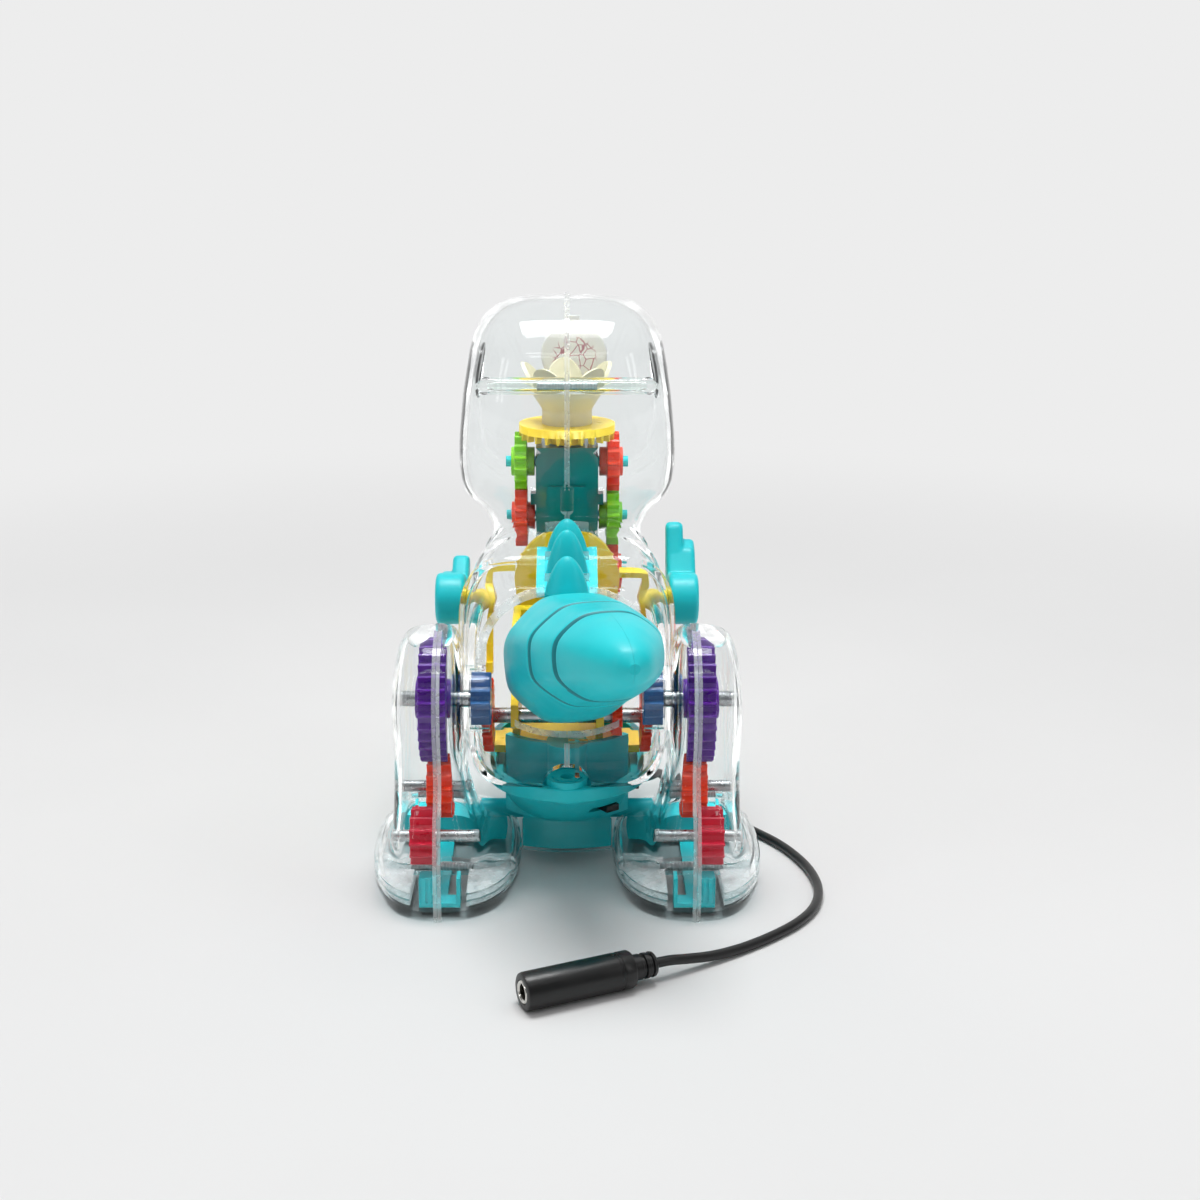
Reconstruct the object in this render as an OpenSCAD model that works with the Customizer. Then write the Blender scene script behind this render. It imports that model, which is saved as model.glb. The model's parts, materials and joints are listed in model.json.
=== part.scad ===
// Switch-adapted toy dinosaur: clear moulded shells over a coloured gear train,
// with swinging arms and tail and a short lead that ends in a jack socket.
// X points to the dinosaur's left, Y to its tail and Z up. Sizes are in millimetres.

/* [Shells] */
// Wall of the clear head and body shell
shell_wall = 1.8; // [1.5:0.1:2.0]
// Wall of the clear leg shells
leg_wall = 1.6; // [1.3:0.1:1.8]
// Wall of the tail halves
tail_wall = 1.8; // [1.4:0.1:2.2]
// Height of the body shell's lower edge above the floor
rim_z = 28; // [27.6:0.1:28.4]
// Distance of each leg's seam from the middle
leg_seam = 32; // [31.8:0.1:32.4]
// Outer radius of the clear screw bosses
boss_r = 2.3; // [2.1:0.1:2.6]

/* [Gears] */
// Module of every gear
tooth_module = 1; // [0.99:0.01:1.01]
// Height of a tooth above the pitch circle
tooth_top = 0.8; // [0.7:0.05:0.85]
// Depth of a tooth below the pitch circle
tooth_foot = 1.1; // [1.0:0.05:1.2]
// Width of a tooth at its root
tooth_root_w = 1.5; // [1.3:0.05:1.6]
// Width of a tooth at its tip
tooth_tip_w = 0.55; // [0.45:0.05:0.6]
// Face width of the neck gears
neck_gear_w = 3.4; // [3.2:0.1:3.8]
// Face width of the thigh gears
thigh_gear_w = 7; // [6:0.1:7.2]
// Face width of the knee gears
knee_gear_w = 6.6; // [5.6:0.1:6.8]
// Face width of the ankle gears
ankle_gear_w = 6.6; // [5.6:0.1:6.8]
// Radial length of the crown teeth
crown_tooth_l = 2; // [1.8:0.1:2.2]

/* [Shafts and fits] */
// Radius of the gear spindles
spindle_r = 1.5; // [1.3:0.05:1.7]
// Radius of the driven shafts and the tail pin
shaft_r = 2; // [1.8:0.05:2.2]
// Radial clearance of a part that turns on a pin
run_gap = 0.05; // [0.02:0.01:0.08]
// Radial clearance of a part that is pressed on
press_gap = 0.01; // [0:0.005:0.02]

/* [Tail and arms] */
// Swing of the tail to the right as it stands
tail_yaw = 13; // [11:0.5:14]
// Angle that the left arm is raised by
arm_left_up = -7; // [-9:1:-5]
// Angle that the right arm is raised by
arm_right_up = 23; // [21:1:25]
// Width of each arm
arm_w = 8; // [7:0.5:8.5]
// Thickness of the arm levers
lever_w = 1.8; // [1.4:0.1:2]

/* [Base] */
// Wall of the base tub
tub_wall = 1.6; // [1.3:0.1:1.9]
// Half the width of the battery box
box_half = 11.6; // [11.5:0.05:11.7]
// Diameter of a battery cell
cell_d = 10.5; // [10:0.1:10.5]
// Length of a battery cell
cell_l = 44.5; // [43:0.5:44.5]
// Thickness of the clear soles
sole_h = 2.2; // [1.8:0.1:2.3]

/* [Lead and jack] */
// Diameter of the lead
lead_d = 2.4; // [2:0.1:2.6]
// Diameter of the jack body
jack_d = 8.8; // [8.2:0.1:9.2]
// Length of the jack body
jack_l = 27; // [25:0.5:29]
// Bore of the jack, for a 3.5 mm plug
jack_bore = 3.6; // [3.5:0.05:3.7]
// Depth of the jack's bore
jack_depth = 15; // [14:0.5:16]

/* [Hidden] */
$fn = 48;
eps = 0.01;
far = 300;
part_gap = 0.4;
screw_r = 1.1;
screw_head_r = 2;

// Teeth
thigh_teeth = 30;
knee_teeth = 15;
ankle_teeth = 13;
hub_teeth = 12;
drive_teeth = 18;
cross_teeth = 10;
transfer_teeth = 20;
motor_teeth = 10;
idler_teeth = 16;
lower_teeth = 16;
upper_teeth = 15;
crown_teeth = 25;

// Directions of the meshes, from +Y towards +Z
knee_dir = -82;
ankle_dir = -42;
cross_dir = 215.6;
rear_dir = 178;
front_dir = 170;
motor_dir = 140;
idler_dir = 97.2;
neck_dir = 90;

function pitch_r(teeth) = tooth_module * teeth / 2;
function polar(r, a) = [r * cos(a), r * sin(a)];
function meshed(at, a, b, dir) = at + polar(pitch_r(a) + pitch_r(b), dir);
// Turn of gear b that puts a gap of it where gear a has a tooth
function mesh_turn(turn, a, b, dir) = dir + 180 + 180 / b - (turn - dir) * a / b;

// Gear centres in the plane of Y and Z
hip = [25, 50];
knee = meshed(hip, thigh_teeth, knee_teeth, knee_dir);
ankle = meshed(knee, knee_teeth, ankle_teeth, ankle_dir);
cross = meshed(hip, hub_teeth, drive_teeth, cross_dir);
rear = meshed(cross, cross_teeth, transfer_teeth, rear_dir);
front = meshed(rear, transfer_teeth, transfer_teeth, front_dir);
motor = meshed(front, transfer_teeth, motor_teeth, motor_dir);
idler = meshed(motor, motor_teeth, idler_teeth, idler_dir);
lower = meshed(idler, idler_teeth, lower_teeth, neck_dir);
upper = meshed(lower, lower_teeth, upper_teeth, neck_dir);
crown_z = upper[1] + pitch_r(upper_teeth);
disc_y = idler[0] + pitch_r(idler_teeth);

// Turns of the gears as they stand
thigh_turn = knee_dir;
knee_turn = mesh_turn(thigh_turn, thigh_teeth, knee_teeth, knee_dir);
ankle_turn = mesh_turn(knee_turn, knee_teeth, ankle_teeth, ankle_dir);
hub_turn = cross_dir;
drive_turn = mesh_turn(hub_turn, hub_teeth, drive_teeth, cross_dir);
idler_turn = 90;
motor_turn = mesh_turn(idler_turn, idler_teeth, motor_teeth, idler_dir + 180);
front_turn = mesh_turn(motor_turn, motor_teeth, transfer_teeth, motor_dir + 180);
rear_turn = mesh_turn(front_turn, transfer_teeth, transfer_teeth, front_dir + 180);
cross_turn = mesh_turn(rear_turn, transfer_teeth, cross_teeth, rear_dir + 180);
lower_right_turn = mesh_turn(idler_turn, idler_teeth, lower_teeth, neck_dir);
upper_right_turn = mesh_turn(lower_right_turn, lower_teeth, upper_teeth, neck_dir);
upper_left_turn = 90;
lower_left_turn = mesh_turn(upper_left_turn, upper_teeth, lower_teeth, neck_dir + 180);

// Places across the toy
neck_x = 11.1;
transfer_x = 11.8;
transfer_w = 2.6;
drive_x = 19.2;
drive_w = 2.8;
hub_x0 = 19.2;
hub_x1 = 24.2;
hip_boss_r = 8.6;
hip_boss_x = 25.7;
thigh_x = leg_seam - 2.2;
knee_x = leg_seam - 4.2;
ankle_x = leg_seam + 0.4;
shaft_end = leg_seam + 10.8;
lever_x = 20;
arm_x = 27.4;
shoulder = [-12, 66];
tower_half = 8.6;
lug_half = 5.2;
lug_l = 2;
lug_h = 10;
peg_l = 1.5;
tower_rear = disc_y - tooth_top - 0.8;
tower_front = tower_rear - 14.4;
tower_top = crown_z - tooth_top - 1.8;
motor_size = [24, 10, 12];
motor_x = -9;
tower_foot = motor[1] + motor_size[2] / 2;
plate_right = -9.6;
plate_left = 12.6;
plate_w = 2;
tail_at = [21, 58.5];
tail_r = 16.2;
tub_floor = 13;
rim_h = 3.6;
rim_half = 21.2;
box_z = 4.6;
box_wall = 1.6;
box_side = 0.9;
door_h = 1.2;
cell_gap = 0.3;
box_rear = 13;
box_front = box_rear - cell_l - 2 * (box_wall + cell_gap);
cell_top = box_z + door_h + cell_d + cell_gap;
deck_z = cell_top + tub_wall;
head_boss = [-17.5, 123];
foot_boss = [31, 6.8];
shin_boss = [17.5, 21.5];
eye_at = [-47, 123];
eye_r = 8;
eye_x = 24.2;
eye_tilt = 8;
exit_at = [-18.6, 3, 20];
side_arm = [6, 12.6];
side_arm_r = 2.6;
side_arm_end = 23;
tray_at = [0, -4];
tray_r = 21;
tray_top = rim_z + 6.6;

// Sections of the head and body, from the tail opening to the nose. Each is the point on
// the back, the point on the belly, half the width and how square the section is.
body_sections = [
  [12, 75.5, 29.5, 42, 22.4, 2.2],
  [11, 76, 32, 33, 25, 3.5],
  [8, 76.8, 27, 25.6, 25.6, 4.4],
  [4.5, 77.6, 12, 24.4, 26.2, 5],
  [-1, 79.3, 2, 24, 28.4, 5],
  [-5, 81.6, -8.5, 24, 26.4, 4.4],
  [-10, 84.5, -26, 26, 26.2, 4],
  [-12, 86.5, -40, 37.5, 24.6, 3],
  [-13, 88.5, -48.5, 53, 22.6, 2.7],
  [-12.5, 91, -52.5, 67.5, 20.6, 2.6],
  [-11, 94.5, -53.5, 77.5, 23, 2.6],
  [-9, 100, -54.5, 82.5, 28, 2.6],
  [-8, 108, -56, 85.5, 29.4, 2.5],
  [-8.5, 118, -58, 87, 29.6, 2.6],
  [-11, 129, -61, 88, 29, 2.9],
  [-16.5, 137.4, -64, 89, 28.2, 3.4],
  [-26, 143.4, -67.5, 89.5, 27.4, 3.6],
  [-40, 145, -71.5, 90, 26.6, 3.6],
  [-50, 142.5, -74.5, 90.5, 25.2, 3.4],
  [-60, 136.5, -77.5, 91.5, 23, 3],
  [-70, 129.5, -80.5, 93.5, 20, 2.7],
  [-79, 121, -83, 97.5, 15.5, 2.5],
  [-84.2, 112, -85, 104, 7, 2.2],
];

// Sections of a leg, from the sole up. Each is the height, the rear, the front, the depth
// outwards from the seam, the depth inwards and how square the section is.
leg_sections = [
  [0, 49.2, -9.2, 16.6, 18.6, 2.4],
  [sole_h, 50, -10, 17.4, 19.4, 2.4],
  [6, 50.3, -11, 17.8, 19.8, 2.5],
  [10.4, 50.3, -9.4, 17.4, 19, 2.6],
  [13, 50, -3, 15.6, 15.6, 2.8],
  [15, 49.8, 6, 13, 12, 3],
  [19, 49.2, 11.5, 12.2, 10.4, 3.2],
  [25, 46.6, 14, 11.6, 8.6, 3.2],
  [31, 42.5, 12.4, 11.6, 7, 3.3],
  [37, 41.4, 9.2, 11.6, 6, 3.6],
  [44, 43, 7, 11.7, 5.9, 3.8],
  [51, 43.6, 6.4, 11.7, 5.9, 3.8],
  [58.5, 41.5, 8.5, 11.2, 5.8, 3.6],
  [64.5, 37, 13, 10, 5.2, 3.1],
  [67.8, 31.5, 18.5, 7.5, 4, 2.6],
  [68.9, 28, 22, 4, 2.2, 2.2],
];

// Spine of the tail while it points straight back: place, half the height, half the width
// and climb
tail_spine = [
  [16.6, 56.4, 14.4, 15, 27],
  [21, 58.5, 15.5, tail_r, 26],
  [31, 63, 15.8, 17.4, 23],
  [42, 67, 13.9, 17.2, 19],
  [53, 70.3, 12.2, 15.8, 16],
  [63, 72.9, 10.6, 13.4, 13],
  [72, 74.8, 8.8, 10.6, 10],
  [79, 76, 6.7, 7.6, 7],
  [84, 76.7, 4.2, 4.5, 5],
  [86.4, 77, 1.2, 1.2, 5],
];

// Route of the lead, from the base to the jack
lead_points = [
  [-17.4, 3, 20],
  [-20.4, 2.9, 20],
  [-22.8, 0.4, 19.6],
  [-24.6, -4, 18.6],
  [-26.2, -8.6, 16.4],
  [-27.8, -12.8, 12.8],
  [-29.4, -16.4, 8.4],
  [-31.4, -19, 4.4],
  [-34.4, -20.4, 2],
  [-38.4, -19.8, 1.4],
  [-42.6, -16.6, 1.3],
  [-47, -11, 1.3],
  [-52, -4, 1.3],
  [-57, 3.4, 1.3],
  [-61, 12, 1.3],
  [-63.8, 22, 1.3],
  [-64.4, 33, 1.3],
  [-62, 43.4, 1.3],
  [-57, 52, 1.3],
  [-50, 59.4, 1.3],
  [-42.4, 65.8, 1.4],
  [-34.8, 71.2, 2],
  [-28.6, 75.2, 3.2],
  [-24.2, 77.9, 4.2],
  [-20.4, 79.8, 4.4],
];
jack_at = [-20, 80, 4.4];
jack_turn = 24.5;
stub_l = 6;

// Smooth curve through four sections
function spline(a, b, c, d, t) =
  (2 * b + (c - a) * t + (2 * a - 5 * b + 4 * c - d) * t * t
  + (3 * b - a - 3 * c + d) * t * t * t) / 2;
function refined(s, k) = [
  for (i = [0:len(s) - 2], j = [0:k - 1])
    spline(s[max(i - 1, 0)], s[i], s[i + 1], s[min(i + 2, len(s) - 1)], j / k),
  s[len(s) - 1],
];
function first(s, n) = [for (i = [0:n - 1]) s[i]];
function signed_pow(v, e) = sign(v) * pow(abs(v), e);

// Point of a section at an angle from its top: a rounded oval between two points
function oval_point(s, inset, a) =
  let (top = [s[0], s[1]], low = [s[2], s[3]], half = norm(top - low) / 2)
  let (along = (top - low) / 2 / half, e = 2 / s[5])
  let (at = (top + low) / 2 + along * (half - inset) * signed_pow(cos(a), e))
  [(s[4] - inset) * signed_pow(sin(a), e), at[0], at[1]];

function side_faces(rows, n) = [
  for (i = [0:rows - 2], j = [0:n - 1])
    let (k = (j + 1) % n) [i * n + j, i * n + n + k, i * n + k],
  for (i = [0:rows - 2], j = [0:n - 1])
    let (k = (j + 1) % n) [i * n + j, i * n + n + j, i * n + n + k],
];
function lofted_faces(rows, n) = [
  [for (j = [0:n - 1]) j],
  each side_faces(rows, n),
  [for (j = [n - 1:-1:0]) (rows - 1) * n + j],
];
// Faces of a solid with a trough in it, whose rings run along the outside and back inside
function trough_faces(rows, n) =
  let (end = (rows - 1) * n)
  [
    for (j = [0:n / 2 - 2]) each [[j, j + 1, n - 2 - j], [j, n - 2 - j, n - 1 - j]],
    each side_faces(rows, n),
    for (j = [0:n / 2 - 2]) each [
      [end + n - 2 - j, end + j + 1, end + j],
      [end + n - 1 - j, end + n - 2 - j, end + j],
    ],
  ];

// Sections in the order that turns the faces of a solid through them outwards
function backwards(s) = [for (i = [len(s) - 1:-1:0]) s[i]];
function ordered(s) =
  let (way = [s[1][0] + s[1][2] - s[0][0] - s[0][2], s[1][1] + s[1][3] - s[0][1] - s[0][3]])
  let (rise = [s[0][0] - s[0][2], s[0][1] - s[0][3]])
  way[0] * rise[1] - way[1] * rise[0] > 0 ? s : backwards(s);

// Solid through sections: half of it lies at X over 0, and whole also on the other side
module half_loft(s, inset = 0, steps = 12) {
  points = [for (r = ordered(s), j = [0:steps]) oval_point(r, inset, j * 180 / steps)];
  polyhedron(points, lofted_faces(len(s), steps + 1), convexity = 6);
}

module whole_loft(s, inset = 0, steps = 12) {
  points = [for (r = ordered(s), j = [0:2 * steps - 1]) oval_point(r, inset, j * 180 / steps)];
  polyhedron(points, lofted_faces(len(s), 2 * steps), convexity = 6);
}

module trough_loft(s, insets, steps = 12) {
  points = [
    for (i = [0:len(s) - 1]) each [
      for (j = [0:steps]) oval_point(s[i], 0, j * 180 / steps),
      for (j = [steps:-1:0]) oval_point(s[i], insets[i], j * 180 / steps),
    ],
  ];
  polyhedron(points, trough_faces(len(s), 2 * (steps + 1)), convexity = 6);
}

module along_x(x0, x1) {
  translate([x0, 0, 0]) rotate([90, 0, 90]) linear_extrude(x1 - x0) children();
}

module rod_x(at, r, x0, x1) {
  along_x(x0, x1) translate(at) circle(r);
}

module mirrored(left) {
  if (left) children();
  if (!left) mirror([1, 0, 0]) children();
}

// Gears
function tooth(r, w, a) = polar(r, a + asin(w / 2 / r));

module gear_outline(teeth, turn) {
  root = pitch_r(teeth) - tooth_foot;
  tip = pitch_r(teeth) + tooth_top;
  polygon([
    for (i = [0:teeth - 1]) let (a = turn + i * 360 / teeth) each [
      tooth(root, -tooth_root_w, a),
      tooth(tip, -tooth_tip_w, a),
      tooth(tip, tooth_tip_w, a),
      tooth(root, tooth_root_w, a),
    ],
  ]);
}

module spur_gear(at, teeth, turn, x0, x1, bore, hub_r = 0, hub_x0 = 0, hub_x1 = 0) {
  difference() {
    union() {
      along_x(x0, x1) translate(at) gear_outline(teeth, turn);
      if (hub_r > 0) rod_x(at, hub_r, hub_x0, hub_x1);
    }
    rod_x(at, bore, -far, far);
  }
}

// Crown gear about Z with its pitch plane at 0 and its teeth pointing down
module crown_teeth_ring(turn, ring_r) {
  inner = ring_r - crown_tooth_l;
  for (i = [0:crown_teeth - 1])
    rotate([0, 0, turn + i * 360 / crown_teeth]) translate([inner, 0, 0])
      rotate([90, 0, 90]) linear_extrude(crown_tooth_l) polygon([
        [-tooth_root_w / 3, tooth_foot + eps],
        [-tooth_tip_w / 2, -tooth_top],
        [tooth_tip_w / 2, -tooth_top],
        [tooth_root_w / 3, tooth_foot + eps],
      ]);
}

module crown_body(turn, plate_r, plate_h, hub_r, hub_low, bore) {
  ring_r = pitch_r(crown_teeth) + 0.8;
  difference() {
    union() {
      crown_teeth_ring(turn, ring_r);
      translate([0, 0, tooth_foot]) cylinder(r = plate_r, h = plate_h);
      translate([0, 0, -hub_low]) cylinder(r = hub_r, h = hub_low + tooth_foot + plate_h);
    }
    translate([0, 0, -far / 2]) cylinder(r = bore, h = far);
  }
}

// Head and body
body_rows = refined(body_sections, 2);

function moved(s, y) = [s[0] + y, s[1], s[2] + y, s[3], s[4], s[5]];
body_inner = [
  moved(body_rows[0], 8),
  moved(body_rows[0], 0.6),
  for (i = [1:len(body_rows) - 3]) moved(body_rows[i], i < 4 ? -shell_wall : 0),
];

// Place along the back, foot and height of each spike
spike_at = [[10, 73.6, 9.8], [0.6, 75.6, 12.6], [-8.4, 79.4, 9.6]];
spike_half = 5.6;
spike_l = 8;
spike_gap = 0.2;

module body_shell(left) {
  mirrored(left) difference() {
    union() {
      half_loft(body_rows);
      rod_x(hip, hip_boss_r, hub_x0 - 0.2, hip_boss_x);
    }
    difference() {
      whole_loft(body_inner, shell_wall);
      rod_x(head_boss, boss_r, 0.3, far);
    }
    rod_x(hip, hip_boss_r - 1.2, hub_x0 - 6, hip_boss_x - 1.2);
    rod_x(hip, shaft_r + run_gap, 0, far);
    rod_x(shoulder, shaft_r + run_gap, 0, far);
    rod_x(head_boss, screw_r + press_gap, -1, 21);
    at_eye() translate([0, 0, -6]) cylinder(r = eye_r + press_gap, h = far);
    for (p = spike_at)
      translate([-spike_half - spike_gap, p[0] - spike_l / 2 - spike_gap, p[1] - 3])
        cube([2 * (spike_half + spike_gap), spike_l + 2 * spike_gap, 14]);
    rotate([-90, 0, 0]) translate([0, -rim_z, 20]) cylinder(r = 6.2, h = 20);
    translate([-far / 2, -far / 2, rim_z - far]) cube(far);
  }
}

module shell_left() {
  color("white", 0.3) body_shell(true);
}

module shell_right() {
  color("white", 0.3) body_shell(false);
}

// Legs
function leg_row(s, depth) = [s[1], s[0], s[2], s[0], s[depth], s[5]];
function leg_rows(depth) = refined([for (s = leg_sections) leg_row(s, depth)], 2);
function leg_inner(depth) =
  let (rows = leg_rows(depth))
  [for (i = [2:len(rows) - 3]) rows[i]];

module leg_bosses(x0, x1) {
  rod_x(foot_boss, boss_r, x0, x1);
  rod_x(shin_boss, boss_r, x0, x1);
}

module leg_half(left, depth) {
  outer = depth == 3;
  mirrored(left) difference() {
    translate([leg_seam, 0, 0]) mirrored(outer) half_loft(leg_rows(depth));
    difference() {
      translate([leg_seam, 0, 0]) mirrored(outer) whole_loft(leg_inner(depth), leg_wall);
      leg_bosses(outer ? leg_seam + 0.2 : 0, outer ? far : leg_seam - 0.2);
    }
    if (outer) rod_x(hip, shaft_r + run_gap, 0, shaft_end + 0.3);
    if (!outer) rod_x(hip, shaft_r + run_gap, 0, far);
    rod_x(foot_boss, screw_r + press_gap, leg_seam - 9, leg_seam + 9);
    rod_x(shin_boss, screw_r + press_gap, leg_seam - 9, leg_seam + 9);
    rod_x(knee, spindle_r + press_gap, leg_seam - 20, leg_seam + 10.4);
    rod_x(ankle, spindle_r + press_gap, leg_seam - 10, leg_seam + 11.4);
    if (!outer) rod_x(side_arm, side_arm_r + part_gap, 0, side_arm_end + part_gap);
  }
}

module leg_left_outer() {
  color("white", 0.3) leg_half(true, 3);
}

module leg_left_inner() {
  color("white", 0.3) leg_half(true, 4);
}

module leg_right_outer() {
  color("white", 0.3) leg_half(false, 3);
}

module leg_right_inner() {
  color("white", 0.3) leg_half(false, 4);
}

// Foot inserts: a toe block and a heel channel on one strip, inside the clear foot
insert_z = sole_h + 0.1;
strip_h = 1.3;
heel_at = [leg_seam - 5.4, 41.4];
heel_size = [10.2, 4.8, 7.8];
heel_slot = [4.6, 0.9];

module toe_block(depth) {
  intersection() {
    translate([leg_seam, 0, 0]) mirrored(depth == 3)
      half_loft(first(leg_inner(depth), 8), leg_wall + 0.3);
    translate([0, -20, insert_z]) cube([2 * leg_seam, 24, 7.2]);
  }
}

module heel_channel() {
  translate([heel_at[0], heel_at[1], insert_z]) difference() {
    cube(heel_size);
    translate([heel_slot[1], -1, strip_h]) cube([heel_slot[0], heel_size[1] + 2, heel_size[2]]);
    for (i = [0:2]) translate([heel_slot[0] + 2 + i * 1.4, heel_size[1] - 0.4, strip_h])
      cube([0.6, 1, heel_size[2]]);
  }
}

module foot(left) {
  mirrored(left) union() {
    toe_block(3);
    toe_block(4);
    translate([leg_seam - 2, 3, insert_z]) cube([4, heel_at[1] - 2, strip_h]);
    heel_channel();
  }
}

module foot_left() {
  color("turquoise") foot(true);
}

module foot_right() {
  color("turquoise") foot(false);
}

// Base
module tub_outline(half, y0, y1, grow) {
  translate([0, y1 - half]) circle(half + grow);
  translate([0, y0 + half]) circle(half + grow);
  translate([-half - grow, y0 + half]) square([2 * (half + grow), y1 - y0 - 2 * half]);
}

module bowl(grow, z0, z1) {
  hull() {
    translate([0, 0, z1 - eps]) linear_extrude(eps) tub_outline(18.8, -29, 31, grow);
    translate([0, 0, z0]) linear_extrude(eps) tub_outline(14, -32, 17, grow);
  }
}

slot_at = [-9.5, 20.8, 18.6];
slot_turn = 36;

module in_slot() {
  translate(slot_at) rotate([0, 0, slot_turn]) children();
}

// Wall of the tray that the mechanism stands in, with a pillar at its rear
module tray() {
  intersection() {
    translate([tray_at[0], tray_at[1], tub_floor + 0.4]) difference() {
      cylinder(r = tray_r, h = tray_top - tub_floor - 0.4);
      translate([0, 0, -1]) cylinder(r = tray_r - tub_wall, h = far);
    }
    translate([-rim_half + 3, 8.6, 0]) cube([2 * rim_half - 6, far, far]);
  }
  translate([0, 14.6, deck_z - 0.6]) cylinder(r = 5.4, h = tray_top - deck_z + 0.6);
}

module base_tub() {
  color("turquoise") difference() {
    union() {
      tub_shell();
      tray();
    }
    in_slot() translate([-4, -5, -1]) cube([8, 13, 2]);
    rod_x([exit_at[1], exit_at[2]], lead_d / 2 + 0.9 + press_gap, -far, 0);
  }
}

module tub_shell() {
  difference() {
    union() {
      difference() {
        union() {
          bowl(0, tub_floor, rim_z - rim_h);
          translate([0, 0, rim_z - rim_h]) linear_extrude(rim_h) tub_outline(rim_half, -30, 32, 0);
        }
        bowl(-tub_wall, tub_floor + tub_wall, rim_z - rim_h + eps);
        translate([0, 0, rim_z - rim_h]) linear_extrude(far)
          tub_outline(rim_half, -30, 32, -tub_wall - 0.6);
      }
      translate([-box_half, box_front, box_z])
        cube([2 * box_half, box_rear - box_front, deck_z - box_z]);
      translate([0, 26.6, rim_z - 4]) cylinder(r = 5.2, h = 5.6);
      for (left = [true, false]) mirrored(left) rod_x(side_arm, side_arm_r, box_half - 0.4, side_arm_end);
    }
    translate([0, 26.6, rim_z - 3]) cylinder(r = 1.8, h = far);
    translate([-box_half + box_side, box_front + box_wall, cell_top - far])
      cube([2 * (box_half - box_side), box_rear - box_front - 2 * box_wall, far]);
  }
}

skirt_at = [0, -19];
skirt_z = 4.2;
skirt_wall = 1.2;
skirt_r = norm([box_half, box_rear + part_gap - skirt_at[1]]) + skirt_wall;

module base_skirt() {
  color("white", 0.3) intersection() {
    translate([skirt_at[0], skirt_at[1], skirt_z]) difference() {
      cylinder(r = skirt_r, h = tub_floor - skirt_z);
      translate([0, 0, -1]) cylinder(r = skirt_r - skirt_wall, h = far);
    }
    translate([-box_half, 0, 0]) cube([2 * box_half, 40, 30]);
  }
}

module battery_door() {
  color("turquoise") difference() {
    translate([-box_half + box_side + 0.2, box_front + box_wall + 0.2, box_z])
      cube([2 * (box_half - box_side - 0.2), box_rear - box_front - 2 * (box_wall + 0.2), door_h]);
    translate([0, box_rear - 4, 0]) cylinder(r = screw_r + press_gap, h = far);
  }
}

module battery_cells() {
  color("silver") for (s = [-1, 1])
    translate([
      s * (box_half - box_side - 0.2 - cell_d / 2),
      box_front + box_wall + cell_gap + cell_l,
      box_z + door_h + cell_d / 2,
    ])
      rotate([90, 0, 0]) union() {
        cylinder(d = cell_d - 0.05, h = cell_l - 1);
        translate([0, 0, cell_l - 1 - eps]) cylinder(d = 3.8, h = 1);
      }
}

module circuit_board() {
  color("green") union() {
    translate([-10.4, -22, deck_z]) cube([20.8, 27, 1.6]);
    for (x = [-6, 2], y = [-18, -4]) translate([x, y, deck_z + 1.6 - eps]) cube([5, 6, 1.6]);
  }
}

module power_switch() {
  color("black") in_slot() translate([-3.8, -3.4, -0.9]) cube([4, 5.2, 1.8]);
}

// Back: each spike is the shape that two rounded outlines share
spike_rise = [[0, 0], [0.05, 0.14], [0.13, 0.3], [0.28, 0.53], [0.48, 0.76], [0.72, 0.93], [1, 1]];

module spike_outline(half, high) {
  polygon([
    for (p = spike_rise) [-half * (1 - p[0]), p[1] * high],
    for (i = [len(spike_rise) - 2:-1:0]) [half * (1 - spike_rise[i][0]), spike_rise[i][1] * high],
  ]);
}

module spike(high) {
  intersection() {
    translate([0, spike_l / 2, 0]) rotate([90, 0, 0]) linear_extrude(spike_l)
      spike_outline(spike_half, high);
    along_x(-spike_half, spike_half) spike_outline(spike_l / 2, high);
  }
}

module back_spikes() {
  color("turquoise") union() {
    for (p = spike_at) translate([0, p[0], p[1]]) spike(p[2]);
    translate([-8, 9, 73.3]) rotate([-22, 0, 0]) translate([0, -20.5, -1.8]) cube([16, 20, 1.6]);
  }
}

// Arms: shoulder, elbow and wrist, with a long inner finger and a short outer one
elbow = [-9, -3.6];
wrist = [-16.6, 1];
wrist_r = 3.8;
inner_tip = [-22, 6.2];
outer_tip = [-19.8, 2.4];
inner_share = 0.6;

module arm_outline() {
  hull() {
    circle(7);
    translate(elbow) circle(4.4);
  }
  hull() {
    translate(elbow) circle(4.4);
    translate(wrist) circle(wrist_r);
  }
}

module finger_outline(tip, r) {
  hull() {
    translate(wrist) circle(wrist_r);
    translate(tip) circle(r);
  }
}

module arm(left, up) {
  split = arm_x + inner_share * arm_w;
  mirrored(left) difference() {
    union() {
      along_x(arm_x, arm_x + arm_w) translate(shoulder) rotate(-up) arm_outline();
      along_x(arm_x, split) translate(shoulder) rotate(-up) finger_outline(inner_tip, 2.8);
      along_x(split - eps, arm_x + arm_w) translate(shoulder) rotate(-up) finger_outline(outer_tip, 2.4);
    }
    rod_x(shoulder, shaft_r + press_gap, 0, arm_x + arm_w - 2);
  }
}

module arm_left() {
  color("turquoise") arm(true, arm_left_up);
}

module arm_right() {
  color("turquoise") arm(false, arm_right_up);
}

// Levers inside the body that swing with the arms
module arm_lever(left, up) {
  mirrored(left) union() {
    rod_x(shoulder, shaft_r, lever_x, arm_x + arm_w - 2.2);
    along_x(lever_x, lever_x + lever_w) translate(shoulder) rotate(5 - up) {
      circle(4);
      translate([-1.8, -20]) square([3.6, 20]);
      translate([-1.8, -20]) square([7, 3]);
      translate([-1.6, 0]) square([3.2, 9]);
    }
    along_x(lever_x - 6, lever_x + eps) translate(shoulder) rotate(5 - up)
      translate([-1.6, 7.2]) square([3.2, 1.8]);
  }
}

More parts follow.
